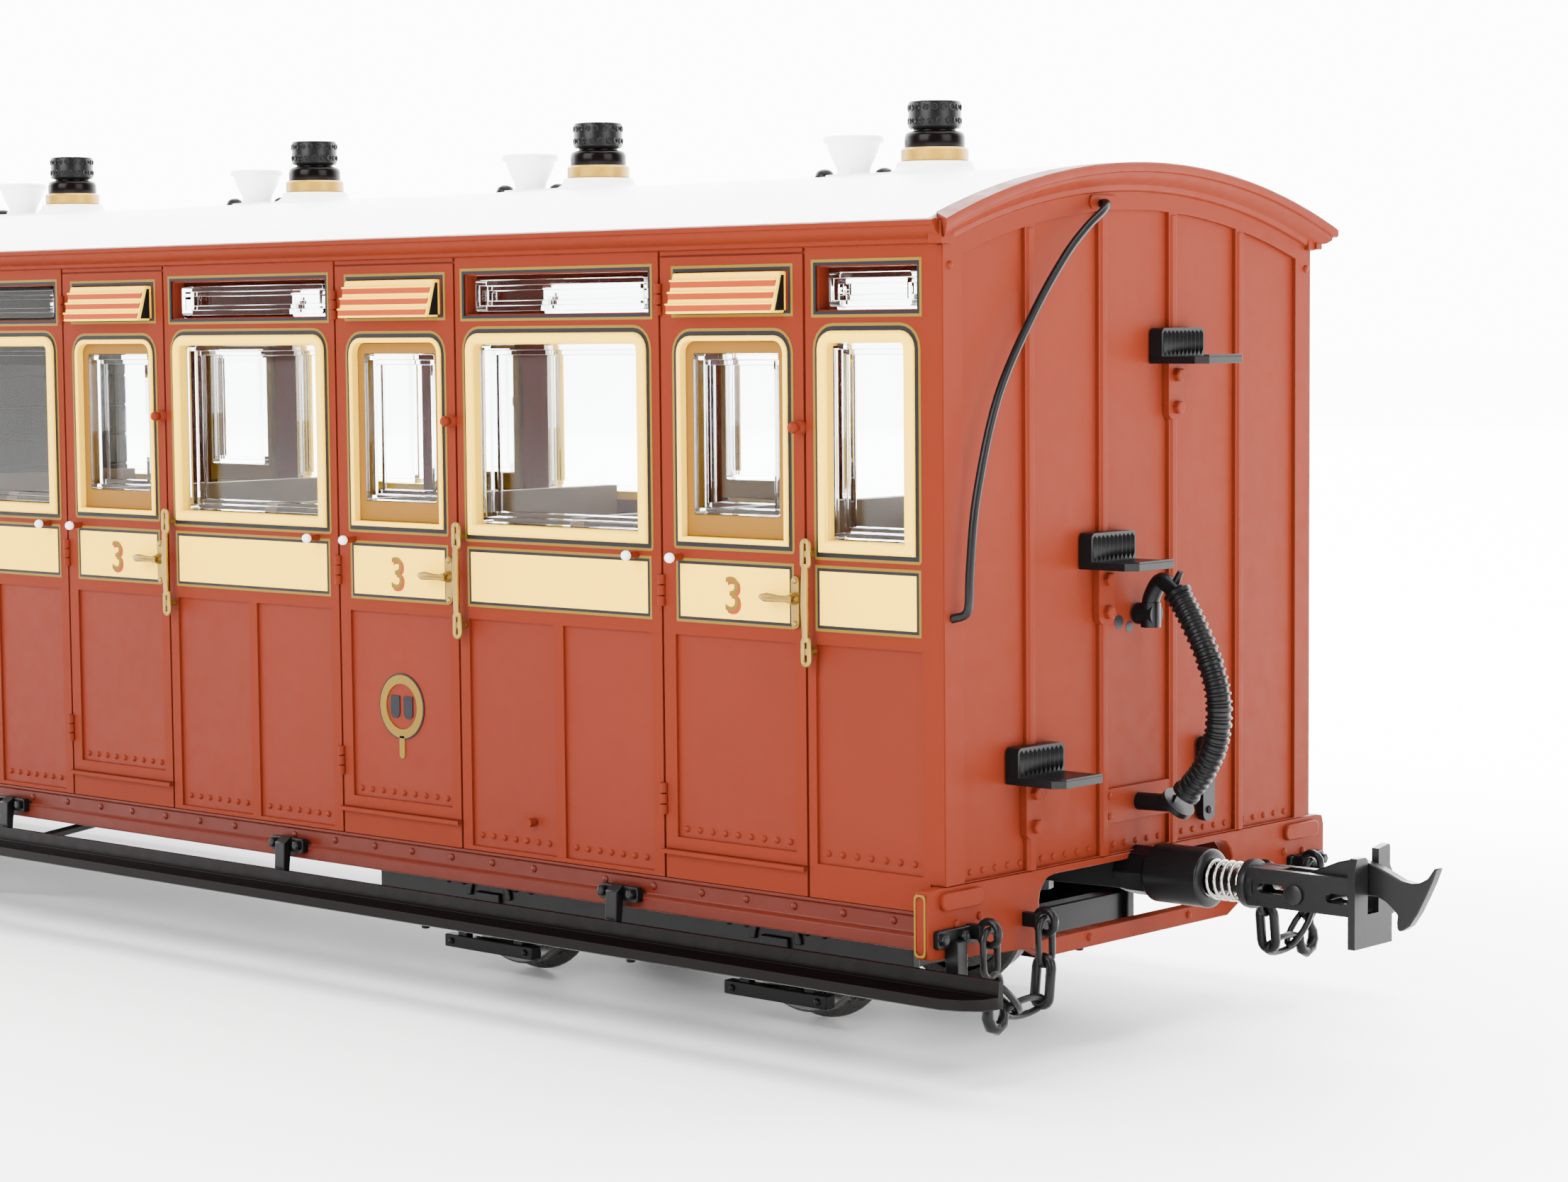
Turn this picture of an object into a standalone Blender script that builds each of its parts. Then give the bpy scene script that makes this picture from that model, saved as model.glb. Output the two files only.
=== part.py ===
"""Narrow-gauge bogie passenger coach, O-16.5 model at 7 mm to the foot.

Metres, +Z up. +X is the front end, the origin is on the rail line below the
coach's centre. The two ends are alike: the rear is the front turned half a
turn about Z, so every end piece is made once and placed twice.
"""
import math

import bmesh
import bpy
from mathutils import Matrix, Vector

MM = 0.001

# Driving dimensions of the body
BODY_LENGTH = 276.1 * MM
BODY_WIDTH = 42.0 * MM
SIDE_HEIGHT = 43.36 * MM
BODY_BASE = 11.6 * MM          # underside of the side panels above the rail line
SIDE_THICKNESS = 1.2 * MM
END_THICKNESS = 1.4 * MM
FIT = 0.3 * MM                 # clearance between pieces that rest on each other
FINE_FIT = 0.2 * MM            # clearance in the small coupler pieces

# Doors and windows, heights above the underside of the side panels
DOOR_COUNT = 8
DOOR_WIDTH = 13.32 * MM
END_QUARTER = 11.89 * MM       # corner of the body to the first door
CORNER_POST = 1.05 * MM
WINDOW_SILL = 23.7 * MM
WINDOW_HEIGHT = 13.5 * MM
BAY_WINDOW_MARGIN = 2.31 * MM  # door edge to the window beside it
END_WINDOW_MARGIN = 2.2 * MM
DOOR_LIGHT_WIDTH = 7.9 * MM
DOOR_LIGHT_SILL = 25.3 * MM
DOOR_LIGHT_HEIGHT = 11.0 * MM
TOPLIGHT_SILL = 38.95 * MM
TOPLIGHT_HEIGHT = 3.2 * MM
TOPLIGHT_MARGIN = 0.9 * MM
GLASS_THICKNESS = 0.5 * MM

# Roof
ROOF_RADIUS = 61.8 * MM
ROOF_THICKNESS = 1.4 * MM
EAVES_HALF_WIDTH = 22.5 * MM
CORNICE_HEIGHT = 1.44 * MM
ROOF_OVERHANG = 1.5 * MM
LAMP_OFFSET = 0.55 * MM         # lamp centre ahead of its door centre
LAMP_SEAT_RADIUS = 2.8 * MM
LAMP_SEAT_RISE = 0.8 * MM      # lamp seat above the crown of the roof
LAMP_SPIGOT_RADIUS = 1.0 * MM
LAMP_SPIGOT_LENGTH = 0.9 * MM
LAMP_RING_RADIUS = 2.43 * MM
LAMP_RING_HEIGHT = 0.85 * MM
LAMP_DRUM_RADIUS = 2.18 * MM
LAMP_DRUM_CHAMFER = 0.2 * MM
LAMP_DRUM_HEIGHT = 1.15 * MM
LAMP_NECK_RADIUS = 1.75 * MM
LAMP_CAP_RADIUS = 1.93 * MM
LAMP_CAP_HEIGHT = 1.95 * MM
VENT_OFFSET = 7.7 * MM         # vent centre behind its lamp
VENT_RADIUS = 2.22 * MM
VENT_NECK_RADIUS = 1.3 * MM
VENT_RISE = 3.0 * MM
VENT_RIM = 0.5 * MM

# Underframe, heights above the rail line
FLOOR_BOTTOM = 13.8 * MM
FLOOR_THICKNESS = 1.5 * MM
SCREW_HOLE_COVER = 0.6 * MM    # floor left above a pivot screw's hole
SOLEBAR_OUTER = 20.5 * MM
SOLEBAR_WEB = 1.6 * MM
SOLEBAR_BOTTOM = 8.9 * MM
SOLEBAR_UPSTAND = 1.5 * MM
SOLEBAR_LIP = 1.0 * MM         # underside of the upstand above the underside of the web
HEADSTOCK_THICKNESS = 1.15 * MM
HEADSTOCK_HALF_WIDTH = 22.9 * MM
HEADSTOCK_TOP = 13.4 * MM
HEADSTOCK_BOTTOM = 8.8 * MM
HEADSTOCK_KEEL = 7.4 * MM      # underside of the strip below the opening
HEADSTOCK_KNEE_DROP = 0.5 * MM
HEADSTOCK_KEEL_SLOPE = 1.0 * MM
HEADSTOCK_JAMB = 0.8 * MM       # beam left beside the opening where the keel begins
HEADSTOCK_OPENING_HALF = 11.2 * MM
HEADSTOCK_OPENING_BOTTOM = 8.6 * MM
HEADSTOCK_OPENING_TOP = 12.9 * MM
FOOTBOARD_OUTER = 25.7 * MM
FOOTBOARD_INNER = 22.5 * MM
FOOTBOARD_TOP = 7.2 * MM
FOOTBOARD_THICKNESS = 0.7 * MM
FOOTBOARD_RISER = 8.3 * MM
FOOTBOARD_OVERRUN = 5.9 * MM   # footboard past the end of the body
BRACKET_SPACING = 36.2 * MM
BRACKET_PAIRS = 3
BRACKET_WIDTH = 2.0 * MM
TRUSS_Y = 16.4 * MM
TRUSS_RADIUS = 0.4 * MM
TRUSS_LOW = 3.6 * MM
QUEEN_POST_X = 22.0 * MM
QUEEN_POST_RADIUS = 0.6 * MM
QUEEN_POST_FOOT = 0.1 * MM      # foot of the post below the middle of the rod
TRUSS_END_X = 62.0 * MM

# Bogies and wheels
BOGIE_PIVOT = 37.3 * MM        # bogie pivot behind the end of the body
WHEELBASE = 29.75 * MM
WHEEL_RADIUS = 5.95 * MM
FLANGE_RADIUS = 6.6 * MM
FLANGE_WIDTH = 0.8 * MM
FLANGE_CHAMFER = 0.2 * MM
TREAD_TAPER = 0.1 * MM
WHEEL_WIDTH = 2.7 * MM
BACK_TO_BACK = 14.5 * MM
AXLE_RADIUS = 1.0 * MM
JOURNAL_RADIUS = 0.55 * MM
JOURNAL_REACH = 0.6 * MM       # journal into the side frame
BOGIE_FRAME_INNER = 11.9 * MM
BOGIE_FRAME_THICKNESS = 1.2 * MM
BOGIE_HALF_LENGTH = 27.5 * MM
BOGIE_FRAME_TOP = 8.1 * MM
BOGIE_FRAME_BOTTOM = 3.8 * MM
KEEPER_BOTTOM = 1.7 * MM
KEEPER_HALF = 4.5 * MM
END_BAR_INSET = 1.2 * MM       # middle of the end bar behind the end of the frame
END_BAR_WIDTH = 1.4 * MM
END_BAR_DROP = 2.2 * MM
BOLSTER_HALF_LENGTH = 4.0 * MM
BOLSTER_TOP = 9.3 * MM
BOLSTER_BOTTOM = 6.9 * MM
PAD_HALF_WIDTH = 6.0 * MM
PIVOT_SCREW_RADIUS = 0.8 * MM
PIVOT_HEAD_RADIUS = 2.0 * MM
PIVOT_HEAD_HEIGHT = 1.1 * MM

# Drawgear, distances in front of the end of the body
DRAWGEAR_HEIGHT = 12.02 * MM
DRAWBAR_PIVOT = -9.5 * MM
DRAWBAR_HALF_WIDTH = 1.6 * MM
DRAWBAR_BOTTOM = 10.8 * MM
DRAWBAR_TOP = 12.6 * MM
DRAWBAR_EYE_RADIUS = 2.1 * MM
SOCKET_BACK = 1.2 * MM
SOCKET_FRONT = 6.25 * MM
SOCKET_RADIUS = 2.03 * MM
SOCKET_END_WALL = 0.9 * MM
ARM_LAP = 0.5 * MM             # drawbar arm into the end wall of its socket
DRAWBAR_HEAD_RADIUS = 1.6 * MM
DRAWBAR_HEAD_HEIGHT = 0.7 * MM
SHANK_ROD_RADIUS = 0.8 * MM
SHANK_TAIL = 4.2 * MM
SHANK_COLLAR_X = 9.2 * MM
SHANK_COLLAR_RADIUS = 1.65 * MM
SHANK_COLLAR_THICKNESS = 0.55 * MM
SHANK_HALF_WIDTH = 1.2 * MM
FORK_LAP = 0.2 * MM            # fork into the buffer plate, and pin short of the fork's faces
SHANK_DROP = 1.3 * MM
SHANK_RISE = 1.35 * MM
BUFFER_BACK = 18.35 * MM
BUFFER_FRONT = 18.9 * MM
BUFFER_HALF_WIDTH = 2.35 * MM
BUFFER_DROP = 3.2 * MM
BUFFER_RISE = 2.0 * MM
BUFFER_HORN_RISE = 3.4 * MM
HORN_WIDTH = 1.4 * MM
LOW_HORN_WIDTH = 1.2 * MM
LOW_HORN_DROP = 0.6 * MM
HOOK_SLOT_BACK = 12.2 * MM
HOOK_SLOT_FLOOR = -1.0 * MM     # foot of the buffer plate's slot, from the drawgear's height
HOOK_THICKNESS = 0.9 * MM
HOOK_EYE_RADIUS = 1.0 * MM
HOOK_PIN_X = 13.6 * MM
HOOK_PIN_Z = -0.17 * MM
HOOK_PIN_RADIUS = 0.4 * MM
BUFFING_TRAVEL = 1.5 * MM
SPRING_WIRE = 0.125 * MM
SPRING_RADIUS = 1.15 * MM
SPRING_TURNS = 3.5

# Side chains, distances in front of the end of the body
CHAIN_X = 1.75 * MM
CHAIN_EYE_HEIGHT = 10.3 * MM
CHAIN_OUTER_Y = 18.7 * MM
CHAIN_INNER_Y = 12.8 * MM
CHAIN_WIRE = 0.25 * MM
CHAIN_LINK_HALF = 0.85 * MM
LUG_THICKNESS = 0.6 * MM
LUG_HOLE_RADIUS = 0.55 * MM
LUG_RADIUS = 1.05 * MM

# End fittings, heights above the underside of the side panels
STEP_Y = (4.0 * MM, -4.0 * MM, -12.0 * MM)
STEP_TOP = (35.8 * MM, 22.1 * MM, 8.35 * MM)
STEP_WIDTH = 5.0 * MM
STEP_DEPTH = 4.3 * MM
STEP_THICKNESS = 0.5 * MM
STEP_STRAP = 4.3 * MM
HOSE_RADIUS = 0.85 * MM
PIPE_RADIUS = 0.5 * MM
RAIL_RADIUS = 0.3 * MM

# Interior
BENCH_HALF_WIDTH = 18.6 * MM
BENCH_FLOOR = 0.6 * MM
SEAT_HEIGHT = 7.0 * MM
SEAT_DEPTH = 9.5 * MM
SEAT_BACK_HEIGHT = 20.0 * MM
SEAT_BACK_HALF = 0.7 * MM
PARTITION_BAY = 4              # the partition stands behind this many doors from the front
PARTITION_THICKNESS = 1.0 * MM
PARTITION_HEADROOM = 0.5 * MM  # partition top below the top of the side panels

# Sizes that follow
END_X = BODY_LENGTH / 2
SIDE_OUTER = BODY_WIDTH / 2
SIDE_INNER = SIDE_OUTER - SIDE_THICKNESS
INSET = SIDE_INNER - FIT
DOOR_PITCH = (BODY_LENGTH - 2 * END_QUARTER - DOOR_WIDTH) / (DOOR_COUNT - 1)
BAY_WIDTH = DOOR_PITCH - DOOR_WIDTH
FIRST_DOOR = END_X - END_QUARTER - DOOR_WIDTH / 2
DOOR_CENTRES = [FIRST_DOOR - i * DOOR_PITCH for i in range(DOOR_COUNT)]
LAMP_CENTRES = [x + LAMP_OFFSET for x in DOOR_CENTRES]
SIDE_TOP = BODY_BASE + SIDE_HEIGHT
EAVES_Z = SIDE_TOP + CORNICE_HEIGHT + FIT
ROOF_CENTRE_Z = EAVES_Z - math.sqrt(ROOF_RADIUS ** 2 - EAVES_HALF_WIDTH ** 2)
ROOF_CROWN = ROOF_CENTRE_Z + ROOF_RADIUS
ROOF_SOFFIT_RADIUS = ROOF_RADIUS - ROOF_THICKNESS
LAMP_SEAT_Z = ROOF_CROWN + LAMP_SEAT_RISE
FLOOR_TOP = FLOOR_BOTTOM + FLOOR_THICKNESS
END_INNER = END_X - END_THICKNESS
HEADSTOCK_BACK = END_X - HEADSTOCK_THICKNESS
AXLE_HEIGHT = FLANGE_RADIUS
PIVOT_X = END_X - BOGIE_PIVOT
SOCKET_BORE = SHANK_ROD_RADIUS + FIT
HOOK_SLOT_HALF = HOOK_THICKNESS / 2 + FINE_FIT

COLOURS = {
    "red": ((0.42, 0.115, 0.075, 1), 0.40, 0.0),
    "white": ((0.80, 0.80, 0.78, 1), 0.45, 0.0),
    "black": ((0.012, 0.012, 0.013, 1), 0.25, 0.0),
    "tan": ((0.45, 0.25, 0.12, 1), 0.50, 0.0),
    "glass": ((0.80, 0.85, 0.85, 0.3), 0.05, 0.0),
    "steel": ((0.55, 0.55, 0.54, 1), 0.30, 1.0),
    "blackened": ((0.05, 0.05, 0.055, 1), 0.35, 0.8),
    "rubber": ((0.02, 0.02, 0.02, 1), 0.60, 0.0),
}


def clear_scene():
    for item in list(bpy.data.objects):
        bpy.data.objects.remove(item, do_unlink=True)


def new_collection(name):
    collection = bpy.data.collections.new(name)
    bpy.context.scene.collection.children.link(collection)
    return collection


def principled(name):
    material = bpy.data.materials.new(name)
    material.use_nodes = True
    colour, roughness, metallic = COLOURS[name]
    shader = material.node_tree.nodes["Principled BSDF"]
    shader.inputs["Base Color"].default_value = colour
    shader.inputs["Roughness"].default_value = roughness
    shader.inputs["Metallic"].default_value = metallic
    shader.inputs["Alpha"].default_value = colour[3]
    material.diffuse_color = colour
    return material


clear_scene()
PARTS = new_collection("passenger_coach")
MATERIALS = {name: principled(name) for name in COLOURS}


# ---- shape helpers: each returns a loose mesh, placed and joined below ----

def mesh_of(bm):
    mesh = bpy.data.meshes.new("shape")
    bm.to_mesh(mesh)
    bm.free()
    return mesh


def block(x, y, z):
    """Box between the three (low, high) pairs."""
    bm = bmesh.new()
    size = Vector((x[1] - x[0], y[1] - y[0], z[1] - z[0]))
    centre = Vector((x[0] + x[1], y[0] + y[1], z[0] + z[1])) / 2
    place = Matrix.Translation(centre) @ Matrix.Diagonal(size.to_4d())
    bmesh.ops.create_cube(bm, size=1, matrix=place)
    return mesh_of(bm)


AXIS_TURN = {
    "X": Matrix.Rotation(math.pi / 2, 4, "Y"),
    "Y": Matrix.Rotation(-math.pi / 2, 4, "X"),
    "Z": Matrix.Identity(4),
}


def rod(axis, low, high, centre, radius, radius_high=None, segments=12):
    """Cylinder or cone along an axis from low to high, centred on the other two coordinates."""
    bm = bmesh.new()
    second = radius if radius_high is None else radius_high
    bmesh.ops.create_cone(bm, cap_ends=True, segments=segments, radius1=radius, radius2=second,
                          depth=high - low)
    middle = (low + high) / 2
    spots = {"X": (middle, *centre), "Y": (centre[0], middle, centre[1]), "Z": (*centre, middle)}
    bmesh.ops.transform(bm, matrix=Matrix.Translation(spots[axis]) @ AXIS_TURN[axis], verts=bm.verts)
    return mesh_of(bm)


def evaluated_mesh(obj):
    """Mesh of an object with its modifiers, in world space; the object is removed."""
    bpy.context.scene.collection.objects.link(obj)
    bpy.context.view_layer.update()
    graph = bpy.context.evaluated_depsgraph_get()
    mesh = bpy.data.meshes.new_from_object(obj.evaluated_get(graph))
    mesh.transform(obj.matrix_world)
    bpy.data.objects.remove(obj, do_unlink=True)
    bm = bmesh.new()
    bm.from_mesh(mesh)
    bmesh.ops.remove_doubles(bm, verts=bm.verts, dist=0.00001)
    bmesh.ops.recalc_face_normals(bm, faces=bm.faces)
    return mesh_of(bm)


PLANE_TURN = {
    # outline (u, v) and thickness along the named axis
    "X": Matrix(((0, 0, 1, 0), (1, 0, 0, 0), (0, 1, 0, 0), (0, 0, 0, 1))),
    "Y": Matrix(((1, 0, 0, 0), (0, 0, -1, 0), (0, 1, 0, 0), (0, 0, 0, 1))),
    "Z": Matrix.Identity(4),
}


def slab(axis, outlines, low, high):
    """Flat outline, with any further outlines as holes, thick along an axis from low to high."""
    curve = bpy.data.curves.new("outline", "CURVE")
    curve.dimensions = "2D"
    curve.fill_mode = "BOTH"
    curve.extrude = (high - low) / 2
    for points in outlines:
        spline = curve.splines.new("POLY")
        spline.points.add(len(points) - 1)
        for point, (u, v) in zip(spline.points, points):
            point.co = (u, v, 0, 1)
        spline.use_cyclic_u = True
    obj = bpy.data.objects.new("outline", curve)
    shift = Vector((0, 0, 0))
    shift["XYZ".index(axis)] = (low + high) / 2
    obj.matrix_world = Matrix.Translation(shift) @ PLANE_TURN[axis]
    return evaluated_mesh(obj)


def wire(points, radius, radii=None, resolution=1, closed=False):
    """Round wire through points; radii scales the thickness point by point."""
    curve = bpy.data.curves.new("wire", "CURVE")
    curve.dimensions = "3D"
    curve.bevel_depth = radius
    curve.bevel_resolution = resolution
    curve.use_fill_caps = True
    spline = curve.splines.new("POLY")
    spline.points.add(len(points) - 1)
    for i, place in enumerate(points):
        spline.points[i].co = (*place, 1)
        spline.points[i].radius = radii[i] if radii else 1
    spline.use_cyclic_u = closed
    return evaluated_mesh(bpy.data.objects.new("wire", curve))


def turned(profile, steps, axis="Z", centre=(0, 0)):
    """Solid of revolution; the profile's (radius, height) points run down the outer side."""
    bm = bmesh.new()
    verts = [bm.verts.new((r, 0, z)) for r, z in profile]
    closed = profile[0][0] > 0 and profile[-1][0] > 0
    pairs = list(zip(verts, verts[1:]))
    if closed:
        pairs.append((verts[-1], verts[0]))
    for a, b in pairs:
        bm.edges.new((a, b))
    obj = bpy.data.objects.new("turned", mesh_of(bm))
    screw = obj.modifiers.new("Screw", "SCREW")
    screw.axis = "Z"
    screw.steps = steps
    screw.render_steps = steps
    screw.use_merge_vertices = True
    screw.merge_threshold = 0.00001
    mesh = evaluated_mesh(obj)
    spots = {"X": (0, *centre), "Y": (centre[0], 0, centre[1]), "Z": (*centre, 0)}
    mesh.transform(Matrix.Translation(spots[axis]) @ AXIS_TURN[axis])
    return mesh


def combine(base, others, operation):
    """Exact Boolean of a mesh with each of the others in turn, done at millimetre size for accuracy."""
    for mesh in (base, *others):
        mesh.transform(Matrix.Diagonal((1 / MM, 1 / MM, 1 / MM, 1)))
    target = bpy.data.objects.new("target", base)
    bpy.context.scene.collection.objects.link(target)
    tools = []
    for other in others:
        tool = bpy.data.objects.new("cutter", other)
        bpy.context.scene.collection.objects.link(tool)
        tool.hide_render = True
        tool.display_type = "WIRE"
        step = target.modifiers.new(operation.lower(), "BOOLEAN")
        step.operation = operation
        step.solver = "EXACT"
        step.object = tool
        tools.append(tool)
    bpy.context.view_layer.update()
    graph = bpy.context.evaluated_depsgraph_get()
    mesh = bpy.data.meshes.new_from_object(target.evaluated_get(graph))
    mesh.transform(Matrix.Diagonal((MM, MM, MM, 1)))
    for item in (target, *tools):
        bpy.data.objects.remove(item, do_unlink=True)
    return mesh


def join(base, *others):
    return combine(base, others, "UNION")


def cut(base, *others):
    return combine(base, others, "DIFFERENCE")


def rectangle(u, v):
    return [(u[0], v[0]), (u[1], v[0]), (u[1], v[1]), (u[0], v[1])]


def span(centre, width):
    return (centre - width / 2, centre + width / 2)


def mirrored(mesh):
    """Mirror image across the coach's long centre plane."""
    copy = mesh.copy()
    copy.transform(Matrix.Scale(-1, 4, (0, 1, 0)))
    copy.flip_normals()
    return copy


def place(name, mesh, material, pivot=(0, 0, 0), turned_round=False):
    """Add a named node whose origin is its pivot; turned_round puts it at the rear end."""
    own = mesh.copy()
    own.name = name
    own.transform(Matrix.Translation(-Vector(pivot)))
    own.materials.clear()
    own.materials.append(MATERIALS[material])
    own.shade_smooth()
    own.set_sharp_from_angle(angle=math.radians(35))
    obj = bpy.data.objects.new(name, own)
    half_turn = Matrix.Rotation(math.pi, 4, "Z") if turned_round else Matrix.Identity(4)
    obj.matrix_world = half_turn @ Matrix.Translation(pivot)
    PARTS.objects.link(obj)
    return obj


def at_both_ends(stem, mesh, material, pivot=(0, 0, 0)):
    place(stem + "_front", mesh, material, pivot)
    place(stem + "_rear", mesh, material, pivot, turned_round=True)


def soffit_height(y):
    return ROOF_CENTRE_Z + math.sqrt(ROOF_SOFFIT_RADIUS ** 2 - y ** 2)


# ---- body ----

def window_columns():
    """Centre and width of every bay window, end window and door light along a side."""
    bays = [(x - DOOR_PITCH / 2, BAY_WIDTH - 2 * BAY_WINDOW_MARGIN) for x in DOOR_CENTRES[:-1]]
    quarter = END_QUARTER - CORNER_POST
    end_centre = END_X - CORNER_POST - quarter / 2
    ends = [(s * end_centre, quarter - 2 * END_WINDOW_MARGIN) for s in (1, -1)]
    doors = [(x, DOOR_LIGHT_WIDTH) for x in DOOR_CENTRES]
    return bays, ends, doors


def side_openings():
    bays, ends, doors = window_columns()
    sill = BODY_BASE + WINDOW_SILL
    light = BODY_BASE + DOOR_LIGHT_SILL
    top = BODY_BASE + TOPLIGHT_SILL
    holes = [rectangle(span(x, w), (sill, sill + WINDOW_HEIGHT)) for x, w in bays + ends]
    holes += [rectangle(span(x, w), (light, light + DOOR_LIGHT_HEIGHT)) for x, w in doors]
    bay_top = BAY_WIDTH - 2 * TOPLIGHT_MARGIN
    end_top = END_QUARTER - CORNER_POST - 2 * TOPLIGHT_MARGIN
    wide = [(x, bay_top) for x, _ in bays] + [(x, end_top) for x, _ in ends]
    holes += [rectangle(span(x, w), (top, top + TOPLIGHT_HEIGHT)) for x, w in wide]
    return holes


def make_sides():
    notch_x = HEADSTOCK_BACK - FIT
    notch_z = HEADSTOCK_TOP + FIT
    outline = [(-notch_x, BODY_BASE), (notch_x, BODY_BASE), (notch_x, notch_z), (END_X, notch_z),
               (END_X, SIDE_TOP), (-END_X, SIDE_TOP), (-END_X, notch_z), (-notch_x, notch_z)]
    side = slab("Y", [outline, *side_openings()], SIDE_INNER, SIDE_OUTER)
    place("side_left", side, "red")
    place("side_right", mirrored(side), "red")
    glass_z = (BODY_BASE + WINDOW_SILL - 0.7 * MM, BODY_BASE + TOPLIGHT_SILL + TOPLIGHT_HEIGHT + 0.3 * MM)
    glass_x = END_INNER - FIT
    glass = block((-glass_x, glass_x), (INSET - GLASS_THICKNESS, INSET), glass_z)
    place("glazing_left", glass, "glass")
    place("glazing_right", mirrored(glass), "glass")


def step_shapes(y, top):
    """One climbing step: tread, toe pad and the bolted strap below it."""
    face = END_X - END_THICKNESS / 2
    strap = block((face, END_X + 0.5 * MM), span(y, 1.7 * MM), (top - STEP_STRAP, top - 0.2 * MM))
    tread = block((face, END_X + STEP_DEPTH), span(y, STEP_WIDTH), (top - STEP_THICKNESS, top))
    pad = block((face, END_X + 1.0 * MM), span(y, STEP_WIDTH - 0.1 * MM), (top - 0.2 * MM, top + 1.9 * MM))
    return [strap, tread, pad]


def make_ends():
    steps = 12
    arch = [(INSET - 2 * INSET * i / steps) for i in range(steps + 1)]
    outline = [(y, soffit_height(y) - FIT) for y in arch]
    outline += [(-INSET, HEADSTOCK_TOP + FIT), (INSET, HEADSTOCK_TOP + FIT)]
    end = slab("X", [outline], END_INNER, END_X)
    fittings = []
    for y, top in zip(STEP_Y, STEP_TOP):
        fittings += step_shapes(y, BODY_BASE + top)
    at_both_ends("end_panel", join(end, *fittings), "red")


def roof_section():
    half = EAVES_HALF_WIDTH
    steps = 10
    outer = [half * (1 - i / steps) for i in range(2 * steps + 1)]
    crown = [(y, ROOF_CENTRE_Z + math.sqrt(ROOF_RADIUS ** 2 - y ** 2)) for y in outer]
    foot = SIDE_TOP + FIT
    inner = [-INSET * (1 - i / steps) for i in range(2 * steps + 1)]
    soffit = [(y, soffit_height(y)) for y in inner]
    return crown + [(-SIDE_OUTER, foot), (-INSET, foot)] + soffit + [(INSET, foot), (SIDE_OUTER, foot)]


def make_roof():
    roof = slab("X", [roof_section()], -END_X - ROOF_OVERHANG, END_X + ROOF_OVERHANG)
    root = ROOF_CROWN - ROOF_THICKNESS / 2
    bosses = []
    sockets = []
    for x in LAMP_CENTRES:
        bosses.append(rod("Z", root, LAMP_SEAT_Z, (x, 0), LAMP_SEAT_RADIUS))
        vent = x - VENT_OFFSET
        top = ROOF_CROWN + VENT_RISE
        profile = [(0, top), (VENT_RADIUS, top), (VENT_RADIUS, top - VENT_RIM),
                   (VENT_NECK_RADIUS, root), (0, root)]
        shape = turned(profile, 12)
        shape.transform(Matrix.Translation((vent, 0, 0)))
        bosses.append(shape)
        bottom = LAMP_SEAT_Z - LAMP_SPIGOT_LENGTH - FIT
        sockets.append(rod("Z", bottom, LAMP_SEAT_Z + FIT, (x, 0), LAMP_SPIGOT_RADIUS + FIT, segments=8))
    place("roof", cut(join(roof, *bosses), *sockets), "white")


def make_lamps():
    base = LAMP_SEAT_Z + FIT
    ring = base + LAMP_RING_HEIGHT
    drum = ring + LAMP_DRUM_HEIGHT
    cap = drum + LAMP_CAP_HEIGHT
    foot = LAMP_SEAT_Z - LAMP_SPIGOT_LENGTH
    profile = [
        (0, cap), (LAMP_CAP_RADIUS, cap), (LAMP_CAP_RADIUS, drum), (LAMP_NECK_RADIUS, drum),
        (LAMP_DRUM_RADIUS, ring + LAMP_DRUM_CHAMFER), (LAMP_DRUM_RADIUS, ring), (LAMP_RING_RADIUS, ring),
        (LAMP_RING_RADIUS, base), (LAMP_SPIGOT_RADIUS, base), (LAMP_SPIGOT_RADIUS, foot), (0, foot),
    ]
    lamp = turned(profile, 12)
    for i, x in enumerate(LAMP_CENTRES):
        copy = lamp.copy()
        copy.transform(Matrix.Translation((x, 0, 0)))
        place(f"lamp_{i + 1}", copy, "black", pivot=(x, 0, LAMP_SEAT_Z))


def make_interior():
    ground = FLOOR_TOP + FIT
    deck = ground + BENCH_FLOOR
    limit = END_INNER - FIT
    boundaries = [x - DOOR_PITCH / 2 for x in DOOR_CENTRES[:-1]]
    split = boundaries[PARTITION_BAY - 1]
    seat_top = deck + SEAT_HEIGHT
    back_top = deck + SEAT_BACK_HEIGHT
    outline = [(-limit, ground), (limit, ground), (limit, back_top), (limit - SEAT_BACK_HALF, back_top),
               (limit - SEAT_BACK_HALF, seat_top), (limit - SEAT_DEPTH, seat_top), (limit - SEAT_DEPTH, deck)]
    for x in boundaries:
        gap = PARTITION_THICKNESS / 2 + FIT if x == split else 0
        seat = gap + SEAT_BACK_HALF + SEAT_DEPTH
        back = gap + SEAT_BACK_HALF
        half = [(x + seat, deck), (x + seat, seat_top), (x + back, seat_top), (x + back, back_top)]
        slot = [(x + gap, back_top), (x + gap, deck)] if gap else []
        right = half + slot
        outline += right + [(2 * x - u, v) for u, v in reversed(right)]
    outline += [(-limit + SEAT_DEPTH, deck), (-limit + SEAT_DEPTH, seat_top),
                (-limit + SEAT_BACK_HALF, seat_top), (-limit + SEAT_BACK_HALF, back_top), (-limit, back_top)]
    place("benches", slab("Y", [outline], -BENCH_HALF_WIDTH, BENCH_HALF_WIDTH), "tan")
    wall = block(span(split, PARTITION_THICKNESS), (-BENCH_HALF_WIDTH, BENCH_HALF_WIDTH),
                 (deck + FIT, SIDE_TOP - PARTITION_HEADROOM))
    place("partition", wall, "tan")


# ---- underframe ----

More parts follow.
